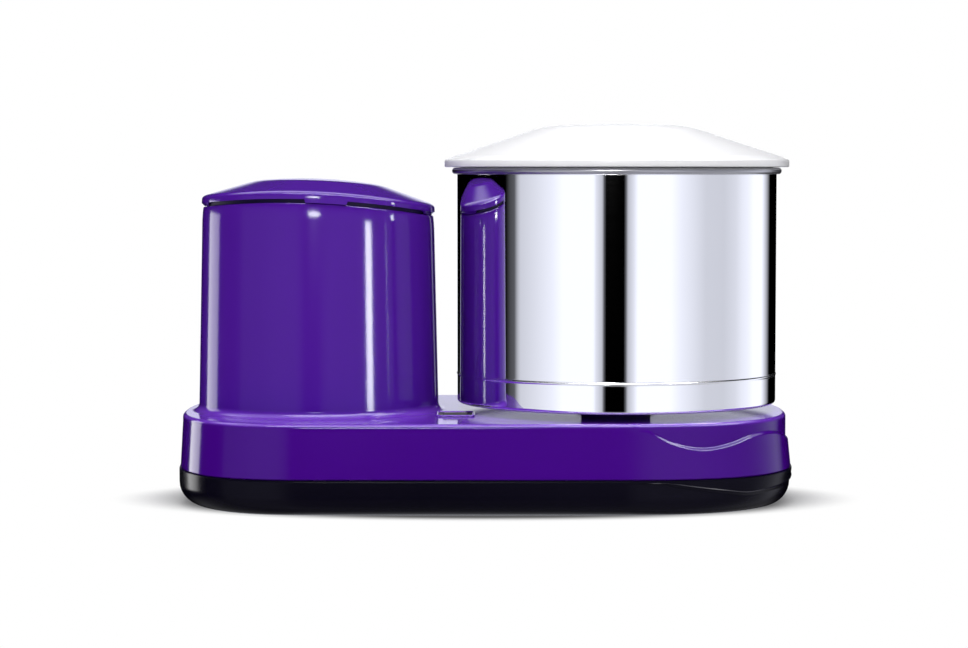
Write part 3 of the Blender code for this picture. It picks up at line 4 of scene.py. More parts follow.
import bmesh
import bpy
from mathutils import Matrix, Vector


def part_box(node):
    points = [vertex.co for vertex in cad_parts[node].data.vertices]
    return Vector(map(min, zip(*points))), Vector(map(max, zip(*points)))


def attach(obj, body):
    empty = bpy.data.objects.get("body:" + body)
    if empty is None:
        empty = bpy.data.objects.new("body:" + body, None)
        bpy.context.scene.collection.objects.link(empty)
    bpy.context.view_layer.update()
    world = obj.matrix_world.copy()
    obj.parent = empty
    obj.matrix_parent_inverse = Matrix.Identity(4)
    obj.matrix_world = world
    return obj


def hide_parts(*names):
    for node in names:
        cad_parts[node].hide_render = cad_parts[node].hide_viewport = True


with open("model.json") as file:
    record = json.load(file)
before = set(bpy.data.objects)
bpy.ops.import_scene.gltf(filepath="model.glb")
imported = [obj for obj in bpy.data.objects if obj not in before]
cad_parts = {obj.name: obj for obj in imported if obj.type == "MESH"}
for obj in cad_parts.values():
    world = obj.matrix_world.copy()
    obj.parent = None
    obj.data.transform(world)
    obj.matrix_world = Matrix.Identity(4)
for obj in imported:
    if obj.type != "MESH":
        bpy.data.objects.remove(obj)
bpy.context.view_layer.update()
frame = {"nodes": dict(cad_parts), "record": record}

# Camera: straight on to the front, a little over half the grinder's height above the table,
# tilted slightly down, with a long lens from about two metres.
def linked(name, data):
    """A new object of the scene that holds this data."""
    made = bpy.data.objects.new(name, data)
    bpy.context.scene.collection.objects.link(made)
    return made


CAMERA_TILT_DEGREES = 3.21
camera_data = bpy.data.cameras.new("front_camera")
camera_data.lens = 98.85
camera_data.sensor_width = 36.0
camera = linked("front_camera", camera_data)
camera.location = (-0.0014, -2.1, 0.256)
camera.rotation_euler = (radians(90 - CAMERA_TILT_DEGREES), 0.0, 0.0)
bpy.context.scene.camera = camera
bpy.context.scene.view_settings.view_transform = "Standard"


# Table and studio: a white table that keeps the grinder's shadow, a surround of white panels with
# dark gaps between them that the polished drum mirrors, two soft boxes that light the grinder, and
# lamps that only show as highlights on it.
class Wire:
    """A value in a node tree, which Python's own operators carry on with Math nodes."""

    def __init__(self, nodes, socket):
        self.nodes = nodes
        self.socket = socket

    def maths(self, operation, *values):
        return self.nodes.node("ShaderNodeMath", {"operation": operation}, values)

    def __add__(self, other):
        return self.maths("ADD", self, other)

    __radd__ = __add__

    def __sub__(self, other):
        return self.maths("SUBTRACT", self, other)

    def __rsub__(self, other):
        return self.maths("SUBTRACT", other, self)

    def __mul__(self, other):
        return self.maths("MULTIPLY", self, other)

    def __truediv__(self, other):
        return self.maths("DIVIDE", self, other)

    def between(self, start, end):
        """0 up to start, 1 from end on, and smooth between them."""
        settings = {"interpolation_type": "SMOOTHSTEP"}
        return self.nodes.node("ShaderNodeMapRange", settings, (self, start, end))


class Nodes:
    """A node tree, with one way to add any node to it."""

    def __init__(self, tree):
        self.tree = tree

    def node(self, kind, settings=None, values=(), output=0):
        made = self.tree.nodes.new(kind)
        for name, setting in (settings or {}).items():
            if name == "stops":
                ramp = made.color_ramp.elements
                while len(ramp) < len(setting):
                    ramp.new(1.0)
                for stop, (place, shade) in zip(ramp, setting):
                    stop.position = place
                    stop.color = (shade, shade, shade, 1.0)
            else:
                setattr(made, name, setting)
        for socket, value in values.items() if isinstance(values, dict) else enumerate(values):
            self.join(made.inputs[socket], value)
        return Wire(self, made.outputs[output]) if made.outputs else None

    def join(self, socket, value):
        if isinstance(value, Wire):
            self.tree.links.new(value.socket, socket)
        else:
            socket.default_value = value

    def mixed(self, share, first, second, blend="MIX"):
        """Colour that goes from the first to the second with the share."""
        settings = {"data_type": "RGBA", "blend_type": blend}
        return self.node("ShaderNodeMix", settings, {0: share, 6: first, 7: second}, 2)

    def split(self, vector):
        made = self.node("ShaderNodeSeparateXYZ", {}, (vector,)).socket.node
        return [Wire(self, socket) for socket in made.outputs]


def emptied(owner):
    """The node tree of a world, a material or a lamp, without the nodes that it starts with."""
    owner.use_nodes = True
    owner.node_tree.nodes.clear()
    return Nodes(owner.node_tree)


# brightness of the surround by direction: degrees round the table, from the front towards the drum
PANELS = ((-180, 1.2), (-173, 1.2), (-171, 0.0), (-88, 0.0), (-84, 0.08), (-80, 0.12), (-77, 0.55),
          (-75, 0.72), (-61.5, 0.87), (-49, 1.03), (-41, 1.2), (-18.6, 1.2), (-16.9, 0.91),
          (-12.3, 0.58), (-11.0, 0.0), (3.9, 0.0), (5.1, 0.58), (9.6, 0.89), (12.4, 1.2), (36, 1.2),
          (44.5, 1.02), (53.8, 0.89), (63.7, 0.74), (79.7, 0.72), (91.7, 0.83), (98.2, 0.97),
          (105.3, 1.06), (113, 1.2), (125, 1.2), (140, 0.0), (171, 0.0), (173, 1.2))
PANEL_TINT = (0.87, 0.89, 1.0, 1.0)
DARK_BAND = (0.03, 0.03, 0.035, 1.0)
BRIGHT_CEILING = (5.0, 5.0, 5.4, 1.0)
PALE_GROUND = (0.5, 0.5, 0.52, 1.0)
EVEN_LIGHT = (0.61, 0.61, 0.63, 1.0)
WHITE = (1.0, 1.0, 1.0, 1.0)
world = bpy.data.worlds.new("studio")
bpy.context.scene.world = world
studio = emptied(world)
east, north, up = studio.split(studio.node("ShaderNodeTexCoord"))
turn = east.maths("ARCTAN2", east, north * -1.0) / (2 * pi) + 0.5
stops = [(0.5 + place / 360, shade) for place, shade in PANELS]
panels = studio.node("ShaderNodeValToRGB", {"stops": stops}, (turn,))
panels = studio.mixed(1.0, panels, PANEL_TINT, "MULTIPLY")
panels = studio.mixed(up.between(0.10, 0.22), panels, DARK_BAND)
panels = studio.mixed(up.between(0.55, 0.72), panels, BRIGHT_CEILING)
pale = studio.mixed(0.6, panels, PALE_GROUND)
panels = studio.mixed((up * -1.0).between(0.30, 0.60), panels, pale)
rays = studio.node("ShaderNodeLightPath").socket.node.outputs
seen = Wire(studio, rays["Is Camera Ray"])
mirrored = Wire(studio, rays["Is Glossy Ray"]) + Wire(studio, rays["Is Transmission Ray"])
# light that a dull face scattered and a mirror sent on comes from the plain surround
mirrored = mirrored * (1.0 - Wire(studio, rays["Diffuse Depth"]).between(0.0, 1.0))
plain = studio.mixed(seen, EVEN_LIGHT, WHITE)
sky = studio.node("ShaderNodeBackground", {}, (studio.mixed(mirrored, plain, panels), 1.0))
studio.node("ShaderNodeOutputWorld", {}, (sky,))

TABLE_GREY = (0.62, 0.62, 0.62, 1.0)
# the table takes shade inside an ellipse, half as deep as wide, and fades to white outside it
SHADE_STRETCH = (1.0, 2.0, 1.0)
SHADE_EDGE = (0.235, 0.300)
SHADE_GLOW = 0.10
floor_data = bpy.data.meshes.new("table_top")
floor_data.from_pydata([(-9, -9, 0), (9, -9, 0), (9, 9, 0), (-9, 9, 0)], [], [(0, 1, 2, 3)])
floor = linked("table_top", floor_data)
floor.visible_glossy = False
table_white = bpy.data.materials.new("table_white")
floor_data.materials.append(table_white)
table = emptied(table_white)
middle = table.node("ShaderNodeTexCoord", output="Object")
middle = table.node("ShaderNodeVectorMath", {"operation": "MULTIPLY"}, (middle, SHADE_STRETCH))
away = table.node("ShaderNodeVectorMath", {"operation": "LENGTH"}, (middle,), 1)
lit = table.node("ShaderNodeBsdfDiffuse", {}, (TABLE_GREY,))
glow = table.node("ShaderNodeEmission", {}, (WHITE, 1.0))
seen = table.node("ShaderNodeLightPath", output="Is Camera Ray")
share = seen * (SHADE_GLOW + away.between(*SHADE_EDGE) * (1.0 - SHADE_GLOW))
table.node("ShaderNodeOutputMaterial", {}, (table.node("ShaderNodeMixShader", {}, (share, lit, glow)),))


def lamp(name, place, aim, width, height, level, beam=180.0, mirrored_only=False, shape="RECTANGLE"):
    """A flat panel of light of this radiance, which the camera doesn't see.

    A mirrored_only lamp shows as a highlight in gloss and lights nothing, not by way of a mirror either.
    """
    data = bpy.data.lights.new(name, "AREA")
    data.shape = shape
    data.size, data.size_y = width, height
    data.energy = level * pi * width * height
    if beam < 180.0:
        half = radians(beam) / 2
        data.spread = 2 * half
        data.energy *= (tan(half) - half) / tan(half)
    made = linked(name, data)
    made.location = place
    made.rotation_euler = (Vector(aim) - Vector(place)).to_track_quat("-Z", "Y").to_euler()
    made.visible_camera = False
    if mirrored_only:
        made.visible_diffuse = False
        light = emptied(data)
        scattered = light.node("ShaderNodeLightPath", output="Diffuse Depth").between(0.0, 1.0)
        glow = light.node("ShaderNodeEmission", {}, (WHITE, 1.0 - scattered))
        light.node("ShaderNodeOutputLight", {}, (glow,))


lamp("top_box", (0.0, -0.40, 1.30), (0.0, 0.0, 0.1), 0.95, 0.25, 8.0)
lamp("front_box", (0.0, -1.9, 1.9), (0.0, 0.0, 0.1), 1.7, 0.9, 3.3)
lamp("front_bar", (0.0, -0.95, 1.45), (0.0, -0.10, 0.07), 1.7, 0.6, 22.0, mirrored_only=True)
lamp("right_bar", (1.20, -0.55, 1.30), (0.18, -0.08, 0.06), 1.3, 0.6, 24.0, mirrored_only=True)
lamp("strip", (0.2743, -0.3544, 0.1475), (-0.0887, -0.0818, 0.1475), 0.056, 0.195, 88.0, 20.0,
     mirrored_only=True)
lamp("side", (-0.554, 0.165, 0.095), (-0.213, -0.044, 0.095), 0.160, 0.31, 5.8, mirrored_only=True)
lamp("flash", (-0.163, -2.05, 0.445), (-0.132, 0.0, 0.23), 0.42, 0.15, 60.0,
     mirrored_only=True, shape="ELLIPSE")


# Bottom tray: one black gloss moulding, a shallow pan with a rolled lower edge. Round the drum's
# end a wave is pressed into it, and the skirt's wave runs above it, so a ribbon stands out between.
class Finish(Nodes):
    """A material of the grinder, with its constant values on the shader's own sockets."""

    def __init__(self, name, constants):
        self.material = bpy.data.materials.new(name)
        self.material.use_nodes = True
        super().__init__(self.material.node_tree)
        self.shader = self.tree.nodes["Principled BSDF"]
        for socket, value in constants.items():
            self.shader.inputs[socket].default_value = value
        self.place = self.node("ShaderNodeTexCoord", output="Object")

    def paint(self, socket, value):
        self.join(self.shader.inputs[socket], value)

    def stretched(self, stretch):
        return self.node("ShaderNodeVectorMath", {"operation": "MULTIPLY"}, (self.place, stretch))

    def noise(self, scale, detail=2.0, stretch=(1.0, 1.0, 1.0)):
        values = {"Vector": self.stretched(stretch), "Scale": scale, "Detail": detail}
        return self.node("ShaderNodeTexNoise", {}, values)

    def grains(self, scale, output="Distance", stretch=(1.0, 1.0, 1.0)):
        values = {"Vector": self.stretched(stretch), "Scale": scale}
        return self.node("ShaderNodeTexVoronoi", {}, values, output)

    def relief(self, height, depth, strength):
        """Small bumps this deep, in metres, where the height is 1."""
        values = {"Strength": strength, "Distance": depth, "Height": height}
        self.paint("Normal", self.node("ShaderNodeBump", {}, values, "Normal"))


class Skin:
    """A closed surface, put together ring by ring."""

    def __init__(self):
        self.mesh = bmesh.new()

    def ring(self, points):
        return [self.mesh.verts.new(point) for point in points]

    def wall(self, *rings):
        """Join each ring to the next, and give back the last one."""
        for near, far in zip(rings, rings[1:]):
            count = max(len(near), len(far))
            for i in range(count):
                j = (i + 1) % count
                corners = [near[i % len(near)], near[j % len(near)], far[j % len(far)], far[i % len(far)]]
                self.mesh.faces.new(list(dict.fromkeys(corners)))
        return rings[-1]

    def end(self, ring):
        self.mesh.faces.new(ring)

    def flat(self, *rings):
        """Fill the flat region inside the first ring and outside the others."""
        edges = []
        for ring in rings:
            for start, end in zip(ring, ring[1:] + ring[:1]):
                edges.append(self.mesh.edges.get((start, end)) or self.mesh.edges.new((start, end)))
        bmesh.ops.triangle_fill(self.mesh, edges=edges, use_beauty=True, normal=(0, 0, 1))

    def shape(self, name, sharp=40.0):
        bmesh.ops.recalc_face_normals(self.mesh, faces=self.mesh.faces)
        data = bpy.data.meshes.new(name)
        self.mesh.to_mesh(data)
        self.mesh.free()
        data.shade_smooth()
        data.set_sharp_from_angle(angle=radians(sharp))
        return linked(name, data)

    def piece(self, name, finish, body, slot, *nodes, sharp=40.0,
              place=(0.0, 0.0, 0.0), spin=(0.0, 0.0, 0.0)):
        """Make the object: it rides on the body and stands for the CAD nodes."""
        made = self.shape(name, sharp)
        made.data.materials.append(finish.material)
        made.modifiers.new("even_shading", "WEIGHTED_NORMAL").keep_sharp = True
        made.location = place
        made.rotation_euler = spin
        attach(made, body)
        if nodes:
            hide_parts(*nodes)
        return made


def circle(radius, level, steps, centre=(0.0, 0.0)):
    turns = [2 * pi * i / steps for i in range(steps)]
    return [(centre[0] + radius * cos(t), centre[1] + radius * sin(t), level) for t in turns]


def middle_of(node):
    low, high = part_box(node)
    return (low + high) / 2


def rounded(start, corner, end, steps=6):
    """Profile points of the quarter round that joins two straight runs at their corner."""
    points = []
    for step in range(steps + 1):
        share = step / steps
        first = [a + (b - a) * share for a, b in zip(start, corner)]
        second = [a + (b - a) * share for a, b in zip(corner, end)]
        points.append(tuple(a + (b - a) * share for a, b in zip(first, second)))
    return points


def upper_round(radius, level, size, steps):
    """Profile points of a rounded upper edge, from the side at this radius to the top at this level."""
    return rounded((radius, level - size), (radius, level), (radius - size, level), steps)


def lower_round(radius, level, size, steps):
    """Profile points of a rounded lower edge, from the underside at this level to the side.

    With the size below zero it is the upper edge of a bore, from the top to the bore's side.
    """
    return rounded((radius - size, level), (radius, level), (radius, level + size), steps)


def quarter(radius, steps=8):
    """Steps of a quarter round of this radius: how far in, and how far from its flat end."""
    turns = [pi / 2 * step / steps for step in range(steps + 1)]
    return [(radius * (1 - cos(t)), radius * (1 - sin(t))) for t in turns]


def through(knots, place):
    """Smooth curve through (place, value) knots."""
    for i, ((start, low), (end, high)) in enumerate(zip(knots, knots[1:])):
        if place <= end or end == knots[-1][0]:
            span = end - start
            before, after = knots[max(i - 1, 0)], knots[min(i + 2, len(knots) - 1)]
            lean_in = (high - before[1]) / (end - before[0]) * span
            lean_out = (after[1] - low) / (after[0] - start) * span
            t = min(max((place - start) / span, 0.0), 1.0)
            return ((2 * t**3 - 3 * t**2 + 1) * low + (t**3 - 2 * t**2 + t) * lean_in
                    + (3 * t**2 - 2 * t**3) * high + (t**3 - t**2) * lean_out)


def eased(part):
    return part * part * (3 - 2 * part)


END_STEPS = 40
END_ROUND_SHARE = 0.8
TRAY_WALL = 0.0025
TRAY_EDGE_RADIUS = 0.016
TRAY_LIP = 0.0011
TRAY_WAVE_DEPTH = 0.0018
TRAY_WAVE_FALL = 0.0030
TRAY_WAVE_RUN = 0.10
TRAY_WAVE_STEPS = 4
# shallow hollow that leaves the wave's step a crisp upper edge: depth, and height over the step
TRAY_HOLLOW = ((0.00025, 0.0003), (0.0005, 0.0006), (0.0005, 0.0012), (0.0, 0.0060))
# where the wave runs out at the tray's lip, its rings stay this far below the lip and apart
STEP_TOP_ROOM = 0.0009
STEP_RING_ROOM = 0.0004
HOLLOW_TOP_ROOM = 0.0006
HOLLOW_RING_SHARE = 0.05
EDGE_RING_ROOM = 0.0005
# height of the tray's wave over the tray's bottom, from the drum's side to its end
TRAY_WAVE = ((0.0, 0.0300), (0.06, 0.0290), (0.12, 0.0250), (0.22, 0.0215), (0.33, 0.0185), (0.42, 0.0162),
             (0.52, 0.0166), (0.63, 0.0178), (0.78, 0.0195), (1.0, 0.0215))
FOOT_HOLE_RADIUS = 0.0040
SCREW_HOLE_RADIUS = 0.0021
motor_x, drum_x = middle_of("motor_cap").x, middle_of("drum").x
tray_low, tray_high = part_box("bottom_tray")
tray_floor = tray_low.z + TRAY_WALL
tower_end, drum_end, half_depth = motor_x - tray_low.x, tray_high.x - drum_x, tray_high.y


def base_ring(inset, level, extra=None):
    """Ring round the base, drawn in by inset, and by extra(share) as well round the drum's end."""
    points = []
    for centre, reach, way in ((drum_x, drum_end, 1), (motor_x, tower_end, -1)):
        for step in range(2 * END_STEPS + 1):
            t = pi * step / (2 * END_STEPS) - pi / 2
            share = 1 - abs(step / END_STEPS - 1) if way > 0 else 0.0
            drawn = inset + (extra(share) if extra else 0.0)
            along = max(cos(t), 0.0) ** END_ROUND_SHARE * (reach - drawn)
            across = abs(sin(t)) ** END_ROUND_SHARE * (half_depth - drawn)
            points.append((centre + way * along, way * copysign(across, t),
                           level(share) if callable(level) else level))
    return skin.ring(points)


def tray_wave_foot(share):
    return min(through(TRAY_WAVE, share) + tray_low.z, tray_high.z)


def growing(depth, run):
    """A depth that is nothing at the drum's side, and whole from this share of the way round."""
    return lambda share: depth * min(1.0, share / run)


def step_level(part):
    """Height of a part of the wave's step, kept under the tray's upper edge."""
    top = tray_high.z - TRAY_LIP - STEP_TOP_ROOM - STEP_RING_ROOM * part
    return lambda share: min(tray_wave_foot(share) - part * TRAY_WAVE_FALL, top)


def hollow_level(over):
    """Height in the hollow over the wave's step, kept under the tray's upper edge."""
    top = tray_high.z - TRAY_LIP - HOLLOW_TOP_ROOM + HOLLOW_RING_SHARE * over
    return lambda share: min(step_level(0.0)(share) + over, top)


def edge_level(step, rise):
    """Height of a step of the rolled edge, kept under the wave's step."""
    level = tray_low.z + rise
    if rise < 0.7 * TRAY_EDGE_RADIUS:
        return level
    return lambda share: min(level, tray_wave_foot(share) - TRAY_WAVE_FALL - EDGE_RING_ROOM * (step + 1))


tray_black = Finish("tray_black", {"Specular IOR Level": 0.06})
cloud = tray_black.noise(9.0, 3.0)
fine = tray_black.noise(700.0, 1.0)
tray_black.paint("Base Color", tray_black.mixed(cloud, (0.0026, 0.0021, 0.0066, 1),
                                                (0.0046, 0.0036, 0.0108, 1)))
tray_black.paint("Roughness", 0.16 + cloud * 0.05 + fine * 0.04)
tray_black.relief(tray_black.noise(160.0), 0.0001, 0.12)

skin = Skin()
outer = []
for step, (inset, rise) in reversed(list(enumerate(quarter(TRAY_EDGE_RADIUS)))):
    drawn = growing(TRAY_WAVE_DEPTH * eased(1 - inset / TRAY_EDGE_RADIUS), TRAY_WAVE_RUN)
    outer.append(base_ring(inset, edge_level(step, rise), drawn))
for step in range(TRAY_WAVE_STEPS, -1, -1):
    part = step / TRAY_WAVE_STEPS
    drawn = growing(TRAY_WAVE_DEPTH * eased(part), TRAY_WAVE_RUN)
    outer.append(base_ring(0.0, step_level(part), drawn))
for depth, over in TRAY_HOLLOW:
    outer.append(base_ring(0.0, hollow_level(over), growing(depth, TRAY_WAVE_RUN)))
outer += [base_ring(inset, tray_high.z - drop) for inset, drop in (
    (0.0, TRAY_LIP), (0.25 * TRAY_LIP, 0.25 * TRAY_LIP), (TRAY_LIP, 0.0))]
skin.wall(*outer)
inner = [base_ring(TRAY_WALL, tray_high.z)]
inner += [base_ring(TRAY_WALL + TRAY_WAVE_DEPTH + inset, tray_floor + rise)
          for inset, rise in quarter(TRAY_EDGE_RADIUS - TRAY_WALL, 6)]
skin.wall(outer[-1], *inner)
holes = []
for node in frame["record"]["behaviour"]["bodies"]["base"]:
    if node.startswith(("tray_screw", "leg_screw", "spindle_bracket_screw", "foot_")):
        radius = FOOT_HOLE_RADIUS if node.startswith("foot_") else SCREW_HOLE_RADIUS
        holes.append([skin.ring(circle(radius, level, 16, middle_of(node)))
                      for level in (tray_low.z, tray_floor)])
for below, above in holes:
    skin.wall(below, above)
skin.flat(outer[0], *[below for below, above in holes])
skin.flat(inner[-1], *[above for below, above in holes])
skin.piece("tray_moulding", tray_black, "base", "black_gloss", "bottom_tray")


# Feet: black rubber, each moulded in one with a stem that is pulled through the tray and a bulb
# that holds it there. The pad has two grooves.
def turned(name, profile, steps, finish, body, slot, *nodes, centre=(0.0, 0.0), **placing):
    """A profile of (radius, height) points, turned round the vertical axis."""
    skin = Skin()
    rings = [skin.ring(circle(radius, level, steps if radius else 1, centre)) for radius, level in profile]
    if profile[0][0] and profile[-1][0]:
        rings.append(rings[0])
    skin.wall(*rings)
    return skin.piece(name, finish, body, slot, *nodes, **placing)


def mottled(name, specular, scale, detail, dark, light, roughness, spread):
    """A plastic or rubber that is a little uneven in its colour and gloss."""
    made = Finish(name, {"Specular IOR Level": specular})
    cloud = made.noise(scale, detail)
    made.paint("Base Color", made.mixed(cloud, dark, light))
    made.paint("Roughness", roughness + cloud * spread)
    return made


FOOT_RADIUS = 0.011
FOOT_STEM_RADIUS = 0.0037
FOOT_BULB_RADIUS = 0.0055
FOOT_BULB_ROUND = 0.0004
FOOT_BULB_TIP_RADIUS = 0.0042
FOOT_GROOVE_RADII = (0.0040, 0.0076)
FOOT_LOWER_ROUND = 0.0006
FOOT_UPPER_ROUND = 0.0005
FOOT_GAP = 0.0003
# across a groove of the pad: distance from its inner edge, and depth
FOOT_GROOVE = ((0.0, 0.0), (0.0003, 0.0005), (0.0010, 0.0005), (0.0013, 0.0))
foot_rubber = mottled("foot_rubber", 0.3, 300.0, 3.0,
                      (0.012, 0.012, 0.012, 1), (0.030, 0.029, 0.028, 1), 0.70, 0.15)
foot_rubber.relief(foot_rubber.noise(1800.0, 2.0), 0.0001, 0.5)
pad_top = tray_low.z - FOOT_GAP
bulb = tray_floor + FOOT_GAP
bulb_side = (FOOT_BULB_RADIUS, bulb + FOOT_BULB_ROUND)
for foot in ("foot_front_left", "foot_front_right", "foot_back_left", "foot_back_right"):
    profile = [(0.0, 0.0)] + [(near + out, depth) for near in FOOT_GROOVE_RADII for out, depth in FOOT_GROOVE]
    profile += lower_round(FOOT_RADIUS, 0.0, FOOT_LOWER_ROUND, 3)
    profile += upper_round(FOOT_RADIUS, pad_top, FOOT_UPPER_ROUND, 3)
    profile += [(FOOT_STEM_RADIUS, pad_top), (FOOT_STEM_RADIUS, bulb)]
    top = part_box(foot)[1].z
    profile += rounded((FOOT_BULB_RADIUS - 0.0003, bulb), (FOOT_BULB_RADIUS, bulb), bulb_side, 2)
    profile += rounded(bulb_side, (FOOT_BULB_TIP_RADIUS, top), (0.0, top), 5)
    turned(foot.replace("foot", "rubber_foot"), profile, 40, foot_rubber, "base", "black_rubber", foot,
           centre=middle_of(foot))


# Screws: zinc-plated steel, eleven alike, driven from below with pan heads.
def dress(finish, *nodes):
    """Give CAD nodes that keep their shape the finish of the real piece."""
    for name in nodes:
        for material_slot in frame["nodes"][name].material_slots:
            material_slot.material = finish.material


zinc = Finish("zinc_plate", {"Metallic": 1.0})
bloom = zinc.grains(260.0)
zinc.paint("Base Color", zinc.mixed(bloom, (0.50, 0.51, 0.53, 1), (0.68, 0.68, 0.66, 1)))
zinc.paint("Roughness", 0.30 + bloom * 0.18 + zinc.noise(40.0) * 0.10)
zinc.relief(zinc.noise(900.0), 0.00005, 0.3)
dress(zinc, *[node for node in frame["nodes"] if "_screw_" in node], "motor_bracket", "scraper_arm")


# Body shell: skirt, deck and motor tower, one moulding of purple gloss ABS, open below and at the
# tower's top. A wave is pressed into the skirt round the drum's end.
SEAM_GAP = 0.0003
BODY_ROUND = 0.0006
BODY_LEDGE = 0.001
BODY_DRAFT = 0.002
BODY_WALL = 0.0025
DECK_EDGE_RADIUS = 0.003
SKIRT_WAVE_DEPTH = 0.002
SKIRT_WAVE_FALL = 0.003
SKIRT_WAVE_RUN = 0.17
SKIRT_WAVE_STEPS = 6
# height of the skirt's wave as a share of the way up to the deck, from the drum's side to its end
SKIRT_WAVE = ((0.0, 1.0), (0.05, 0.84), (0.12, 0.62), (0.23, 0.50), (0.35, 0.56),
              (0.46, 0.68), (0.57, 0.72), (0.68, 0.68), (0.84, 0.52), (1.0, 0.48))
TOWER_FOOT_RADIUS = 0.0945
TOWER_TOP_RADIUS = 0.0912
TOWER_FILLET = 0.006
TOWER_CURVE = 0.0006
TOWER_CURVE_HEIGHT = 0.013
TOWER_CURVE_STEPS = 8
TOWER_RIM_DROP = 0.0010
TOWER_WALL = 0.0025
ARCH_LEFT = 0.022
ARCH_RADIUS = 0.58
TOWER_STEPS = 144
HUB_HOLE_RADIUS = 0.029
HUB_COLLAR_WALL = 0.002
HUB_COLLAR_HEIGHT = 0.004
SWITCH_HALF_WIDTH = 0.0115
SWITCH_HALF_LENGTH = 0.0155
SWITCH_PROUD = 0.0005
POST_RADIUS = 0.005
POST_HOLE_DEPTH = 0.011
POST_GAP = 0.0003
GLAND_HOLE_RADIUS = 0.0080
shell_low, shell_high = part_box("body_shell")
seam = tray_high.z + SEAM_GAP
switch_spot = middle_of("switch_housing")
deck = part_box("switch_housing")[1].z - SWITCH_PROUD
arch_top = shell_high.z

body_purple = Finish("body_purple", {"Specular IOR Level": 0.14})
east, north, height = body_purple.split(body_purple.place)
cloud = body_purple.noise(7.0, 3.0)
fine = body_purple.noise(900.0, 1.0)
# one plastic throughout: the skirt is painted darker, as painted shade, and the deck lighter, as painted
# light from above
skirt_painted_shade = body_purple.mixed(cloud, (0.057, 0.0012, 0.243, 1), (0.063, 0.0020, 0.262, 1))
tower_colour = body_purple.mixed(cloud, (0.076, 0.0088, 0.312, 1), (0.083, 0.0113, 0.336, 1))
deck_painted_light = body_purple.mixed(cloud, (0.150, 0.036, 0.490, 1), (0.163, 0.041, 0.520, 1))
# painted shade: the skirt below this height is darker than the tower
colour = body_purple.mixed(height.between(0.062, 0.085), skirt_painted_shade, tower_colour)
# painted light: the deck and its edges are lighter, as if lit more from above
painted_deck_light_share = height.between(deck - 0.0030, deck - 0.0008) * (1.0 - height.between(deck + 0.0015, deck + 0.0070))
colour = body_purple.mixed(painted_deck_light_share, colour, deck_painted_light)
along = east - (motor_x - ARCH_LEFT)
over_rim = height - arch_top + along * along / (2 * ARCH_RADIUS)
beside = east - motor_x
away = beside.maths("SQRT", beside * beside + north * north)
# inside the tower's rim the plastic is painted dark, as painted shade, and made dull, so the gap under the
# cap reads as a seam
inside = (1.0 - away.between(TOWER_TOP_RADIUS - 0.0030, TOWER_TOP_RADIUS - 0.0024)) * (
    1.0 - over_rim.between(0.0055, 0.0065)) * height.between(0.150, 0.160)
body_purple.paint("Base Color", body_purple.mixed(inside, colour, (0.012, 0.001, 0.060, 1)))
body_purple.paint("Roughness", 0.08 + cloud * 0.03 + fine * 0.03 + inside * 0.5)
body_purple.relief(body_purple.noise(120.0), 0.0001, 0.05)


def skirt_wave_foot(share):
    return min(seam + through(SKIRT_WAVE, share) * (deck - seam), deck - DECK_EDGE_RADIUS - SKIRT_WAVE_FALL)


def skirt_level(part):
    return lambda share: skirt_wave_foot(share) + part * SKIRT_WAVE_FALL


def arch(x):
    """Height of the tower's rim at x from the motor axis."""
    return arch_top - (x + ARCH_LEFT) ** 2 / (2 * ARCH_RADIUS)


def arched(points):
    """Points round the motor axis, given with a height over the rim, put on to the arch."""
    return [(x + motor_x, y, z + arch(x)) for x, y, z in points]


skin = Skin()
top_inset = BODY_LEDGE + BODY_DRAFT
outer = [base_ring(BODY_LEDGE + BODY_ROUND, seam), base_ring(BODY_LEDGE, seam + 0.0008)]
for step in range(SKIRT_WAVE_STEPS + 1):
    part = step / SKIRT_WAVE_STEPS
    drawn = growing(SKIRT_WAVE_DEPTH * eased(part), SKIRT_WAVE_RUN)
    outer.append(base_ring(top_inset, skirt_level(part), drawn))
outer += [base_ring(top_inset + across, deck - drop, drawn) for across, drop in quarter(DECK_EDGE_RADIUS)]
outer.append(base_ring(top_inset + DECK_EDGE_RADIUS + BODY_ROUND, deck, drawn))
skin.wall(*outer)
lining = [base_ring(BODY_LEDGE + BODY_WALL, seam),
          base_ring(top_inset + SKIRT_WAVE_DEPTH + BODY_WALL, deck - BODY_WALL)]
skin.wall(outer[0], *lining)
root = [(TOWER_FOOT_RADIUS + TOWER_FILLET + BODY_ROUND, deck)]
root += [(TOWER_FOOT_RADIUS + out, deck + rise) for rise, out in quarter(TOWER_FILLET)]
tower = [skin.ring(circle(radius, level, TOWER_STEPS, (motor_x, 0.0))) for radius, level in root]
draft = (TOWER_FOOT_RADIUS - TOWER_TOP_RADIUS) / (arch_top - deck - TOWER_FILLET)
for step in range(TOWER_CURVE_STEPS + 1):
    part = step / TOWER_CURVE_STEPS
    drop = TOWER_CURVE_HEIGHT + (TOWER_RIM_DROP - TOWER_CURVE_HEIGHT) * part
    radius = TOWER_TOP_RADIUS + draft * drop - TOWER_CURVE * part ** 2
    tower.append(skin.ring(arched(circle(radius, -drop, TOWER_STEPS))))
rim_radius = TOWER_TOP_RADIUS - TOWER_CURVE
for radius, drop in ((rim_radius - 0.0003, 0.0003), (rim_radius - 0.0010, 0.0),
                     (TOWER_TOP_RADIUS - TOWER_WALL, 0.0)):
    tower.append(skin.ring(arched(circle(radius, -drop, TOWER_STEPS))))
tower.append(skin.ring(circle(TOWER_FOOT_RADIUS - TOWER_WALL, deck - BODY_WALL, TOWER_STEPS, (motor_x, 0.0))))
skin.wall(*tower)
collar = HUB_HOLE_RADIUS + HUB_COLLAR_WALL
collar_top = deck + HUB_COLLAR_HEIGHT
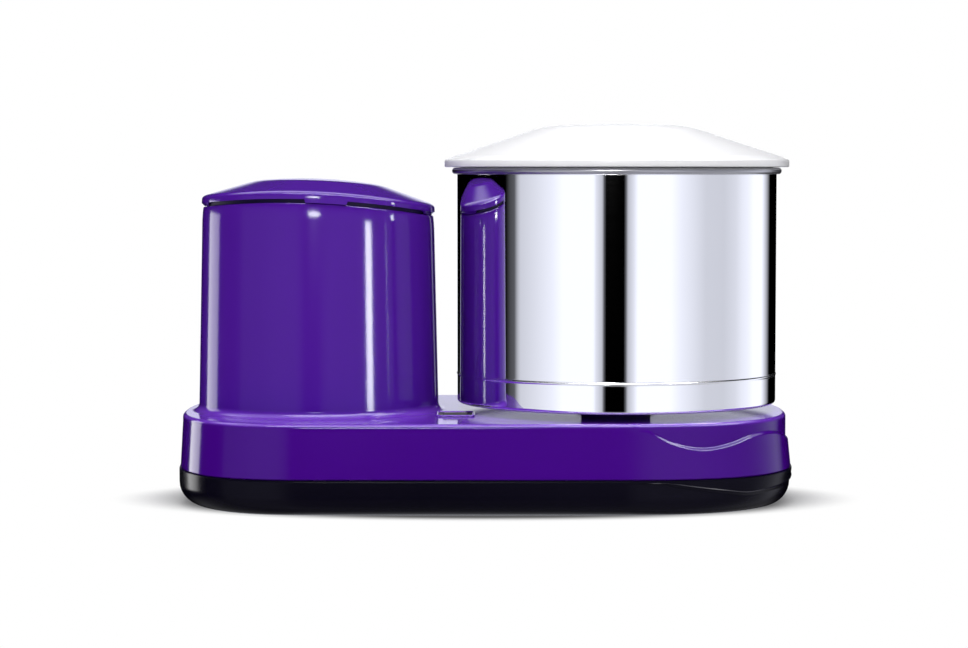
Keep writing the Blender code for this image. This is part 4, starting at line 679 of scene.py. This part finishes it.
hub = [skin.ring(circle(radius, level, 64, (drum_x, 0.0))) for radius, level in (
    (collar + BODY_ROUND, deck), (collar, deck + BODY_ROUND),
    (collar, collar_top - BODY_ROUND), (collar - BODY_ROUND, collar_top),
    (HUB_HOLE_RADIUS, collar_top), (HUB_HOLE_RADIUS, deck - BODY_WALL))]
skin.wall(*hub)


def box_ring(skin, half_x, half_y, level, bend, steps=5):
    """A rectangle with rounded corners round the switch's middle."""
    points = []
    for number, (sx, sy) in enumerate(((1, 1), (-1, 1), (-1, -1), (1, -1))):
        for step in range(steps + 1):
            t = pi / 2 * (number + step / steps)
            points.append((switch_spot.x + sx * (half_x - bend) + bend * cos(t),
                           switch_spot.y + sy * (half_y - bend) + bend * sin(t), level))
    return skin.ring(points)


window = [box_ring(skin, SWITCH_HALF_WIDTH, SWITCH_HALF_LENGTH, level, 0.0003, 2)
          for level in (deck, deck - BODY_WALL)]
skin.wall(*window)
posts = []
for number in (1, 2, 3, 4):
    spot = middle_of(f"tray_screw_{number}")
    end = tray_floor + POST_GAP
    post = [skin.ring(circle(radius, level, 24, spot)) for radius, level in (
        (POST_RADIUS, deck - BODY_WALL), (POST_RADIUS, end), (SCREW_HOLE_RADIUS, end),
        (SCREW_HOLE_RADIUS, end + POST_HOLE_DEPTH))]
    skin.wall(*post)
    skin.end(post[-1])
    posts.append(post[0])
skin.flat(outer[-1], tower[0], hub[0], window[0])
skin.flat(lining[-1], tower[-1], hub[-1], window[-1], *posts)
shell = skin.piece("body_moulding", body_purple, "base", "purple_gloss", "body_shell")
gland_middle = middle_of("cord_gland")
skin = Skin()
hole = [skin.ring(circle(GLAND_HOLE_RADIUS, level, 32)) for level in (-0.03, 0.03)]
skin.wall(*hole)
for end in hole:
    skin.end(end)
cutter = skin.shape("gland_hole")
cutter.location = gland_middle
cutter.rotation_euler = (pi / 2, 0.0, 0.0)
cutter.hide_render = True
cutter.display_type = "WIRE"
cut = shell.modifiers.new("gland_hole", "BOOLEAN")
cut.operation = "DIFFERENCE"
cut.object = cutter
shell.modifiers.move(1, 0)


# Motor cap: purple gloss ABS, an arched cover that stands on three ribs over the tower's rim and
# leaves a vent gap between them. A lip inside it drops into the tower and centres it.
CAP_OVERHANG = 0.0006
CAP_GAP = 0.0030
CAP_BAND = 0.0055
CAP_RISE = 0.0186
CAP_EDGE_ROUND = 0.0022
CAP_BAND_LEAN = 0.035
CAP_BAND_CURVE = 8.0
CAP_FLAT_RADIUS = 0.048
CAP_FLAT_ROUND = 0.006
CAP_CROWN = 0.0012
CAP_RIB_WIDTH = 0.031
CAP_RIB_DEGREES = 7.0
CAP_RIB_GAP = 0.0003
# the cap's two ends are the directions whose cosine is at least this
CAP_END_COSINE = 0.93
CAP_WALL = 0.0025
CAP_LIP_GAP = 0.0010
CAP_LIP_WALL = 0.002
CAP_LIP_DEPTH = 0.006
cap_edge = TOWER_TOP_RADIUS + CAP_OVERHANG
half_rib = CAP_RIB_WIDTH / TOWER_TOP_RADIUS / 2
cap_turns = []
for rib in range(3):
    centre = rib * 2 * pi / 3 - pi / 2 + radians(CAP_RIB_DEGREES)
    cap_turns += [(centre - half_rib + 2 * half_rib * i / 12, True) for i in range(13)]
    span = 2 * pi / 3 - 2 * half_rib
    cap_turns += [(centre + half_rib + span * (0.006 + 0.988 * i / 40), False) for i in range(41)]


def cap_ring(radius, rise):
    return skin.ring(arched([(radius * cos(t), radius * sin(t), rise) for t, on_rib in cap_turns]))


def cap_foot(radius, closed=False):
    """The cap's lower edge. Inside, its two ends reach down, so that no light comes through there."""
    return skin.ring(arched([(radius * cos(t), radius * sin(t),
                              CAP_RIB_GAP if on_rib or closed and abs(cos(t)) > CAP_END_COSINE else CAP_GAP)
                             for t, on_rib in cap_turns]))


def band_drawn(rise):
    """How far the band has leaned in at this height over the rim."""
    return CAP_BAND_LEAN * (rise - CAP_GAP) + CAP_BAND_CURVE * (rise - CAP_GAP) ** 2


skin = Skin()
band_top = CAP_GAP + CAP_BAND
flat_rise = CAP_RISE - CAP_CROWN
slope = (flat_rise - band_top) / (cap_edge - CAP_FLAT_RADIUS)
outside = [cap_foot(cap_edge)]
round_low = band_top - CAP_EDGE_ROUND
outside += [cap_ring(cap_edge - band_drawn(rise), rise) for rise in (
    CAP_GAP + (round_low - CAP_GAP) * step / 5 for step in range(1, 5))]
corner = cap_edge - band_drawn(band_top)
outside += [cap_ring(*point) for point in rounded(
    (cap_edge - band_drawn(round_low), round_low), (corner, band_top),
    (corner - 2 * CAP_EDGE_ROUND, band_top + 2 * CAP_EDGE_ROUND * slope), 8)]
outside += [cap_ring(*point) for point in rounded(
    (CAP_FLAT_RADIUS + CAP_FLAT_ROUND, flat_rise - CAP_FLAT_ROUND * slope), (CAP_FLAT_RADIUS, flat_rise),
    (CAP_FLAT_RADIUS - CAP_FLAT_ROUND, flat_rise + 0.0002), 6)]
outside += [cap_ring(CAP_FLAT_RADIUS * share, CAP_RISE - CAP_CROWN * share ** 2) for share in (0.6, 0.3)]
outside.append(skin.ring(arched([(0.0, 0.0, CAP_RISE)])))
wall_inner = cap_edge - CAP_WALL
eaves = band_top - CAP_WALL
pitch = (flat_rise - band_top) / (wall_inner - CAP_FLAT_RADIUS)
lip_outer = TOWER_TOP_RADIUS - TOWER_WALL - CAP_LIP_GAP
lip_inner = lip_outer - CAP_LIP_WALL
inside = [cap_foot(wall_inner, True), cap_ring(wall_inner, eaves),
          cap_ring(lip_outer, eaves + pitch * (wall_inner - lip_outer)), cap_ring(lip_outer, -CAP_LIP_DEPTH),
          cap_ring(lip_inner, -CAP_LIP_DEPTH), cap_ring(lip_inner, eaves + pitch * (wall_inner - lip_inner)),
          cap_ring(CAP_FLAT_RADIUS, flat_rise - CAP_WALL),
          skin.ring(arched([(0.0, 0.0, CAP_RISE - CAP_WALL)]))]
skin.wall(*outside)
skin.wall(*inside)
skin.wall(outside[0], inside[0])
skin.piece("cap_moulding", body_purple, "base", "purple_gloss", "motor_cap", sharp=50.0)


# Cord gland: black nylon, pushed through the hole in the tower's back from outside, with a flange,
# a ribbed spout for the lead and a neck with a snap ring inside the wall.
GLAND_BORE_RADIUS = 0.0036
GLAND_NECK_RADIUS = 0.0076
GLAND_FLANGE_RADIUS = 0.0110
GLAND_FLANGE = 0.003
GLAND_FLANGE_ROUND = 0.0012
GLAND_SPOUT = 0.006
GLAND_SPOUT_WALL = 0.0015
GLAND_RIB_COUNT = 4
gland_nylon = mottled("gland_nylon", 0.4, 60.0, 2.0,
                      (0.014, 0.013, 0.016, 1), (0.028, 0.027, 0.032, 1), 0.36, 0.14)
gland_nylon.relief(gland_nylon.noise(1500.0, 1.0), 0.00005, 0.35)
gland_low, gland_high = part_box("cord_gland")
spout_end = gland_high.y
flange_out = spout_end - GLAND_SPOUT
flange_in = flange_out - GLAND_FLANGE
neck_end = gland_low.y
profile = [(GLAND_BORE_RADIUS, neck_end), (GLAND_NECK_RADIUS - 0.0006, neck_end),
           (GLAND_NECK_RADIUS, neck_end + 0.0010), (GLAND_NECK_RADIUS, flange_in),
           (GLAND_FLANGE_RADIUS, flange_in)]
profile += upper_round(GLAND_FLANGE_RADIUS, flange_out, GLAND_FLANGE_ROUND, 4)
spout_root = GLAND_NECK_RADIUS
spout_tip = GLAND_BORE_RADIUS + GLAND_SPOUT_WALL
for rib in range(GLAND_RIB_COUNT):
    for part, groove in ((0.05, 0.0), (0.50, 0.0), (0.60, 0.0005), (0.95, 0.0005)):
        along = (rib + part) / GLAND_RIB_COUNT
        profile.append((spout_root + (spout_tip - spout_root) * along - groove,
                        flange_out + (spout_end - flange_out) * along))
profile += [(spout_tip - 0.0004, spout_end), (GLAND_BORE_RADIUS, spout_end)]
turned("gland_moulding", profile, 40, gland_nylon, "base", "dark_plastic", "cord_gland",
       place=(gland_middle.x, 0.0, gland_middle.z), spin=(-pi / 2, 0.0, 0.0))


# Switch: a black moulded frame and box that clip into the deck inside a raised purple bead, with a
# rocker that see-saws on the pins in its sides.
SWITCH_FRAME = 0.0035
SWITCH_GAP = 0.0003
SWITCH_LIP = 0.0012
SWITCH_WELL_DEPTH = 0.0065
BEAD_WIDTH = 0.0020
switch_low, switch_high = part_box("switch_housing")
switch_plastic = mottled("switch_plastic", 0.25, 80.0, 2.0,
                         (0.010, 0.009, 0.012, 1), (0.020, 0.018, 0.024, 1), 0.36, 0.12)
switch_plastic.relief(switch_plastic.noise(1400.0, 1.0), 0.00005, 0.3)
frame_x, frame_y = SWITCH_HALF_WIDTH + SWITCH_FRAME, SWITCH_HALF_LENGTH + SWITCH_FRAME
seat = deck + 0.0003
top = deck + 0.0014
skin = Skin()
bead = [box_ring(skin, frame_x - inset, frame_y - inset, level, 0.0045 - inset) for inset, level in (
    (0.0, seat), (0.0, seat + 0.0003), (0.0003, top - 0.0003), (0.0008, top), (0.0012, top),
    (BEAD_WIDTH - 0.0002, top - 0.0004), (BEAD_WIDTH, seat + 0.0002), (BEAD_WIDTH, seat))]
skin.wall(*bead, bead[0])
skin.piece("switch_bead", body_purple, "base", "purple_gloss", sharp=60.0)
top = switch_high.z + 0.0002
seat = switch_high.z - 0.0012
skin = Skin()
box_x, box_y = SWITCH_HALF_WIDTH - SWITCH_GAP, SWITCH_HALF_LENGTH - SWITCH_GAP
rim_x, rim_y = frame_x - BEAD_WIDTH - SWITCH_GAP, frame_y - BEAD_WIDTH - SWITCH_GAP
well_x, well_y = box_x - SWITCH_LIP, box_y - SWITCH_LIP
rings = [box_ring(skin, x, y, level, bend) for x, y, level, bend in (
    (box_x, box_y, switch_low.z, 0.0005), (box_x, box_y, seat, 0.0005), (rim_x, rim_y, seat, 0.0022),
    (rim_x, rim_y, top - 0.0005, 0.0022), (rim_x - 0.0003, rim_y - 0.0003, top - 0.0002, 0.0019),
    (well_x, well_y, top - 0.0002, 0.0008), (well_x, well_y, seat - SWITCH_WELL_DEPTH, 0.0008))]
skin.end(rings[0])
skin.end(skin.wall(*rings))
skin.piece("switch_frame", switch_plastic, "base", "dark_plastic", "switch_housing", sharp=35.0)
ROCKER_TILT_DEGREES = 7.0
ROCKER_HEEL = 0.0022
ROCKER_TIP = 0.0026
ROCKER_VALLEY = 0.0009
ROCKER_GAP = 0.0005
rocker_x = well_x - ROCKER_GAP
tilt = radians(ROCKER_TILT_DEGREES)
rocker_y = (well_y - ROCKER_GAP - ROCKER_TIP * sin(tilt)) / cos(tilt)
nose = rounded((rocker_y, ROCKER_TIP - 0.0008), (rocker_y, ROCKER_TIP),
               (rocker_y - 0.0010, ROCKER_TIP - 0.0001), 3)
section = [(-rocker_y, -ROCKER_HEEL), (rocker_y, -ROCKER_HEEL)] + nose
for step in range(-9, 10):
    share = -step / 10
    rise = ROCKER_VALLEY + (ROCKER_TIP - ROCKER_VALLEY) * share ** 2
    section.append((share * rocker_y, rise))
    if abs(step) > 5:
        # grip ridge
        section.append((share * rocker_y - 0.0003, rise - 0.00012))
section += [(-y, z) for y, z in reversed(nose)]
skin = Skin()
ends = [skin.ring([(x, y * shrink, z - lower) for y, z in section]) for x, shrink, lower in (
    (-rocker_x, 0.97, 0.0003), (0.0004 - rocker_x, 1.0, 0.0), (rocker_x - 0.0004, 1.0, 0.0),
    (rocker_x, 0.97, 0.0003))]
skin.wall(*ends)
for end in (ends[0], ends[-1]):
    skin.end(end)
skin.piece("rocker_moulding", switch_plastic, "switch", "dark_plastic", "switch_rocker", sharp=35.0,
           place=(switch_spot.x, switch_spot.y, switch_high.z - 0.0015), spin=(-tilt, 0.0, 0.0))


# Motor: die-cast aluminium end shields clamp a laminated stator core with lacquered copper windings.
# The shaft carries the rotor core, a nylon fan and the small pulley.
def metal(name, dark, light, roughness, stretch, scale, metallic=1.0):
    """Worked metal with fine marks across the stretched axis."""
    made = Finish(name, {"Metallic": metallic})
    marks = made.noise(scale, 2.0, stretch)
    stain = made.noise(25.0, 3.0)
    made.paint("Base Color", made.mixed(marks * 0.5 + stain * 0.5, dark, light))
    made.paint("Roughness", roughness + marks * 0.12 + stain * 0.06)
    made.relief(marks, 0.00004, 0.4)
    return made


UPRIGHT = (30.0, 30.0, 1800.0)
SIDEWAYS = (1800.0, 30.0, 30.0)
bright_steel = metal("turned_steel", (0.42, 0.42, 0.43, 1), (0.62, 0.62, 0.62, 1), 0.22, UPRIGHT, 1.0)
laminations = metal("laminated_steel", (0.16, 0.16, 0.17, 1), (0.36, 0.36, 0.37, 1), 0.38, UPRIGHT, 1.0)
cast_alloy = metal("die_cast_aluminium", (0.46, 0.47, 0.48, 1), (0.66, 0.67, 0.68, 1), 0.40, (1, 1, 1), 420.0)
windings = metal("lacquered_copper", (0.20, 0.050, 0.016, 1), (0.62, 0.22, 0.080, 1), 0.24, UPRIGHT, 1.2, 0.8)
iron = metal("cast_iron", (0.030, 0.030, 0.033, 1), (0.085, 0.085, 0.088, 1), 0.50, (1, 1, 1), 330.0, 0.7)
iron.relief(iron.noise(500.0, 3.0), 0.0003, 0.5)
nylon = mottled("grey_nylon", 0.35, 50.0, 3.0, (0.17, 0.17, 0.175, 1), (0.27, 0.27, 0.275, 1), 0.42, 0.16)
nylon.relief(nylon.noise(1200.0, 1.0), 0.00005, 0.3)
belt_rubber = Finish("belt_rubber", {"Specular IOR Level": 0.3})
weave = belt_rubber.noise(1.0, 2.0, (250.0, 250.0, 1600.0))
belt_rubber.paint("Base Color", belt_rubber.mixed(weave, (0.010, 0.010, 0.010, 1), (0.035, 0.034, 0.033, 1)))
belt_rubber.paint("Roughness", 0.66 + weave * 0.20)
belt_rubber.relief(weave, 0.0001, 0.6)
dress(cast_alloy, "lower_end_shield", "upper_end_shield", "run_capacitor")
dress(laminations, "stator_core", "rotor_core")
dress(windings, "lower_winding", "upper_winding")
dress(bright_steel, "motor_shaft", "motor_pulley", "lower_motor_bearing", "upper_motor_bearing",
      "lower_hub_bearing", "upper_hub_bearing", "spindle")
dress(iron, "spindle_bracket", "drum_socket", "drive_coupler")
dress(nylon, "cooling_fan", "drum_pulley")
dress(belt_rubber, "drive_belt")
dress(gland_nylon, "terminal_block", "capacitor_clamp")


# Drum: deep-drawn stainless steel, mirror polished outside and spun with a rolled satin rim, a
# raised bead near its bottom and a rounded lower corner. It hangs on the drive coupler.
DRUM_WALL = 0.0012
DRUM_CORNER_RADIUS = 0.003
DRUM_LIP = 0.0018
DRUM_LIP_INSETS = (0.0085, 0.0055)
RIM_ROLL_RADIUS = 0.0026
BEAD_RISE = 0.021
BEAD_DEPTH = 0.0004
BEAD_HALF_HEIGHT = 0.0014
BEAD_FOOT = 2.2 * BEAD_HALF_HEIGHT
PIPE_BORE_RADIUS = 0.011
PIPE_RADIUS = 0.015
PIPE_EDGE_ROUND = 0.0012
PIPE_FLANGE_RADIUS = 0.022
PIPE_FLANGE = 0.002
PIPE_FLANGE_BEVEL = 0.0005
PIPE_FILLET = 0.003
drum_low, drum_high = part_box("drum")
drum_radius = drum_high.x - drum_x + DRUM_WALL - 2 * RIM_ROLL_RADIUS
drum_inner = drum_radius - DRUM_WALL
lip_low = drum_low.z - DRUM_LIP
polished_steel = Finish("polished_steel", {"Metallic": 1.0})
height = polished_steel.split(polished_steel.place)[2]
smear = polished_steel.noise(14.0, 3.0)
turning = polished_steel.noise(1.0, 2.0, (6.0, 6.0, 2200.0))
# the rim, the lip and the bead's ridge are duller than the mirror round them, and the rim is also painted
# darker, as painted shade under the lid's brim
rim_satin_painted_shade = height.between(drum_high.z - 0.0062, drum_high.z - 0.0048)
lip = 1.0 - height.between(lip_low + 0.0010, lip_low + 0.0016)
bead = drum_low.z + BEAD_RISE
ridge = height.between(bead - BEAD_HALF_HEIGHT * 1.5, bead - BEAD_HALF_HEIGHT) * (
    1.0 - height.between(bead + BEAD_HALF_HEIGHT, bead + BEAD_HALF_HEIGHT * 1.5))
clear = polished_steel.mixed(smear, (0.93, 0.935, 0.95, 1), (0.965, 0.968, 0.975, 1))
polished_steel.paint("Base Color", polished_steel.mixed(rim_satin_painted_shade, clear, (0.42, 0.42, 0.44, 1)))
polished_steel.paint("Metallic", 1.0 - lip * 0.5)
polished_steel.paint("Roughness", 0.016 + smear * 0.010 + turning * 0.012 + rim_satin_painted_shade * 0.25 + lip * 0.30
                     + ridge * 0.12)
lip_start, lip_full = DRUM_LIP_INSETS
profile = [(PIPE_BORE_RADIUS, drum_low.z), (drum_radius - lip_start, drum_low.z),
           (drum_radius - lip_full, lip_low)]
profile += lower_round(drum_radius, lip_low, DRUM_CORNER_RADIUS, 10)
profile.append((drum_radius, bead - BEAD_FOOT))
profile += [(drum_radius + BEAD_DEPTH * (0.5 + 0.5 * cos(pi * i / 6)), bead + BEAD_HALF_HEIGHT * i / 6)
            for i in range(-6, 7)]
profile.append((drum_radius, bead + BEAD_FOOT))
roll = drum_radius + RIM_ROLL_RADIUS - DRUM_WALL
for step in range(17):
    t = radians(240) + radians(300) * step / 16
    profile.append((roll + RIM_ROLL_RADIUS * cos(t), drum_high.z - RIM_ROLL_RADIUS * (1 - sin(t))))
bend = DRUM_CORNER_RADIUS - DRUM_WALL
inner_floor = drum_low.z + DRUM_WALL
profile += rounded((drum_inner, inner_floor + bend), (drum_inner, inner_floor),
                   (drum_inner - bend, inner_floor), 6)
profile.append((PIPE_BORE_RADIUS, inner_floor))
turned("drum_shell", profile, 192, polished_steel, "drum", "polished_stainless", "drum",
       centre=(drum_x, 0.0), sharp=45.0)
pipe_low, pipe_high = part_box("drum_pipe")
flange_top = pipe_low.z + PIPE_FLANGE
profile = [(PIPE_BORE_RADIUS, pipe_low.z), (PIPE_FLANGE_RADIUS, pipe_low.z),
           (PIPE_FLANGE_RADIUS, flange_top - PIPE_FLANGE_BEVEL),
           (PIPE_FLANGE_RADIUS - PIPE_FLANGE_BEVEL, flange_top)]
profile += rounded((PIPE_RADIUS + PIPE_FILLET, flange_top), (PIPE_RADIUS, flange_top),
                   (PIPE_RADIUS, flange_top + PIPE_FILLET), 4)
profile += upper_round(PIPE_RADIUS, pipe_high.z, PIPE_EDGE_ROUND, 4)
profile += lower_round(PIPE_BORE_RADIUS, pipe_high.z, -PIPE_EDGE_ROUND, 4)
turned("drum_pipe_steel", profile, 64, polished_steel, "drum", "polished_stainless", "drum_pipe",
       centre=(drum_x, 0.0))


# Stones: black granite, the flat base stone bonded into the drum and two rollers that turn on
# nylon bushes. Their faces are pecked all over, so that they bite, and their rims are eased.
STONE_BEVEL = 0.002
BORE_BEVEL = 0.001
STONE_BORE_RADIUS = 0.0223
ROLLER_BORE_RADIUS = 0.0140
ROLLER_BEVEL = 0.004
granite = Finish("black_granite", {"Specular IOR Level": 0.4})
crystals = granite.grains(420.0, "Color")
flecks = granite.split(crystals)[0]
veins = granite.noise(60.0, 4.0)
ground = granite.mixed(veins, (0.030, 0.030, 0.032, 1), (0.075, 0.075, 0.078, 1))
grey = granite.mixed(flecks.between(0.55, 0.80), ground, (0.16, 0.16, 0.165, 1))
granite.paint("Base Color", granite.mixed(flecks.between(0.90, 0.94), grey, (0.46, 0.45, 0.43, 1)))
granite.paint("Roughness", 0.46 + granite.noise(200.0) * 0.24)
granite.relief(granite.grains(330.0), 0.0004, 0.35)
stone_low, stone_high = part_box("base_stone")
stone_radius = stone_high.x - drum_x
profile = [(STONE_BORE_RADIUS, stone_low.z), (stone_radius - DRUM_CORNER_RADIUS, stone_low.z),
           (stone_radius, stone_low.z + DRUM_CORNER_RADIUS)]
profile += upper_round(stone_radius, stone_high.z, STONE_BEVEL, 4)
profile += lower_round(STONE_BORE_RADIUS, stone_high.z, -BORE_BEVEL, 3)
turned("base_stone_granite", profile, 128, granite, "drum", "granite", "base_stone", centre=(drum_x, 0.0))
for side in ("right", "left"):
    stone_low, stone_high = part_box(side + "_roller_stone")
    half = (stone_high.x - stone_low.x) / 2
    radius = (stone_high.z - stone_low.z) / 2
    one_end = [(ROLLER_BORE_RADIUS, BORE_BEVEL - half), (ROLLER_BORE_RADIUS + BORE_BEVEL, -half)]
    one_end += lower_round(radius, -half, ROLLER_BEVEL, 6)
    profile = one_end + [(out, -along) for out, along in reversed(one_end)]
    turned(side + "_roller_granite", profile, 96, granite, side + "_roller", "granite",
           side + "_roller_stone", place=middle_of(side + "_roller_stone"), spin=(0.0, pi / 2, 0.0))
dress(nylon, "right_roller_bush", "left_roller_bush")


# Stone holder: a stainless sleeve that stands still on the spindle. Its two turned axles carry the
# rollers behind hexagon nuts, an arm above them holds the scraper, and a lobed knob locks it down.
HOLDER_BEVEL = 0.001
SPINDLE_BORE_RADIUS = 0.0063
crosswise_steel = metal("axle_steel", (0.42, 0.42, 0.43, 1), (0.62, 0.62, 0.62, 1), 0.22, SIDEWAYS, 1.0)
dress(crosswise_steel, "right_axle", "left_axle", "right_axle_nut", "left_axle_nut")
hub_low, hub_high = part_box("holder_hub")
hub_radius = (hub_high.x - hub_low.x) / 2
profile = [(SPINDLE_BORE_RADIUS, hub_low.z)]
profile += lower_round(hub_radius, hub_low.z, HOLDER_BEVEL, 4)
profile += upper_round(hub_radius, hub_high.z, HOLDER_BEVEL, 4)
profile.append((SPINDLE_BORE_RADIUS, hub_high.z))
turned("holder_sleeve", profile, 64, polished_steel, "stone_holder", "polished_stainless", "holder_hub",
       centre=(drum_x, 0.0))
wiper = mottled("white_nylon", 0.4, 80.0, 2.0, (0.74, 0.73, 0.70, 1), (0.84, 0.83, 0.81, 1), 0.40, 0.15)
wiper.relief(wiper.noise(1200.0, 1.0), 0.00005, 0.3)
dress(wiper, "scraper_blade")
KNOB_LOBE_COUNT = 6
KNOB_LOBE_DEPTH = 0.002
KNOB_CROWN = 0.003
KNOB_FOOT_BEVEL = 0.0008
KNOB_BORE_DEPTH = 0.014
KNOB_STEPS = 96
knob_low, knob_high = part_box("lock_knob")
knob_radius = (knob_high.x - knob_low.x) / 2
skin = Skin()


def lobed(radius, level, deep=1.0):
    points = []
    for step in range(KNOB_STEPS):
        t = 2 * pi * step / KNOB_STEPS
        size = radius - deep * KNOB_LOBE_DEPTH / 2 * (1 - cos(KNOB_LOBE_COUNT * t))
        points.append((drum_x + size * cos(t), size * sin(t), level))
    return skin.ring(points)


mouth = [skin.ring(circle(SPINDLE_BORE_RADIUS, level, 32, (drum_x, 0.0)))
         for level in (knob_low.z, knob_low.z + KNOB_BORE_DEPTH)]
skin.end(skin.wall(*mouth))
base = [lobed(knob_radius - KNOB_FOOT_BEVEL, knob_low.z), lobed(knob_radius, knob_low.z + KNOB_FOOT_BEVEL)]
body = [lobed(*point) for point in upper_round(knob_radius, knob_high.z, KNOB_CROWN, 6)]
dish = [lobed(knob_radius * share, knob_high.z - sink, deep) for share, sink, deep in (
    (0.62, 0.0, 0.4), (0.56, 0.0006, 0.0), (0.30, 0.0008, 0.0))]
skin.flat(base[0], mouth[0])
skin.end(skin.wall(*base, *body, *dish))
skin.piece("knob_moulding", switch_plastic, "knob", "dark_plastic", "lock_knob")


# Lid: white gloss plastic, vacuum formed, with a brim that rests on the drum's rim, a lip that
# drops inside it and a raised middle.
LID_BRIM = 0.0062
LID_BRIM_WIDTH = 0.010
LID_SHOULDER_RISE = 0.0095
LID_WALL = 0.0022
LID_FLAT_RADIUS = 0.058
LID_FLAT_RISE = 0.0320
LID_LIP_DEPTH = 0.006
LID_LIP_GAP = 0.0015
lid_low, lid_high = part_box("lid")
lid_radius = lid_high.x - drum_x
lid_base = lid_low.z + LID_LIP_DEPTH
lid_top = lid_high.z
lid_white = mottled("lid_white", 0.30, 6.0, 2.0,
                    (0.955, 0.955, 0.960, 1), (0.970, 0.970, 0.974, 1), 0.22, 0.06)
shoulder = lid_radius - LID_BRIM_WIDTH
shoulder_top = lid_base + LID_SHOULDER_RISE
brim_top = lid_base + LID_BRIM
fall = (LID_FLAT_RISE - LID_SHOULDER_RISE) / (shoulder - LID_FLAT_RADIUS)


def cone(radius):
    """Height of the lid's straight slope over its base."""
    return lid_base + LID_FLAT_RISE - fall * (radius - LID_FLAT_RADIUS)


profile = [(0.0, lid_top), (0.02, lid_top - 0.0002), (0.04, lid_top - 0.0009)]
profile += rounded((LID_FLAT_RADIUS - 0.009, lid_top - 0.0014), (LID_FLAT_RADIUS, lid_top - 0.0020),
                   (LID_FLAT_RADIUS + 0.010, cone(LID_FLAT_RADIUS + 0.010)), 8)
profile += [(radius, cone(radius)) for radius in (0.080, 0.095, 0.110)]
profile += rounded((shoulder - 0.006, cone(shoulder - 0.006)), (shoulder, shoulder_top),
                   (shoulder + 0.004, shoulder_top - 0.0013), 4)
profile += rounded((lid_radius - 0.0020, brim_top + 0.0001), (lid_radius, brim_top - 0.0002),
                   (lid_radius, brim_top - 0.0020), 5)
lip = drum_inner - LID_LIP_GAP
profile += [(lid_radius, lid_base + 0.0008), (lid_radius - 0.0008, lid_base), (lip, lid_base),
            (lip, lid_low.z + 0.0006), (lip - 0.0006, lid_low.z), (lip - LID_WALL, lid_low.z),
            (lip - LID_WALL, shoulder_top - LID_WALL),
            (LID_FLAT_RADIUS, lid_base + LID_FLAT_RISE - LID_WALL), (0.0, lid_top - LID_WALL)]
turned("lid_moulding", profile, 192, lid_white, "lid", "white_gloss", "lid", centre=(drum_x, 0.0), sharp=50.0)
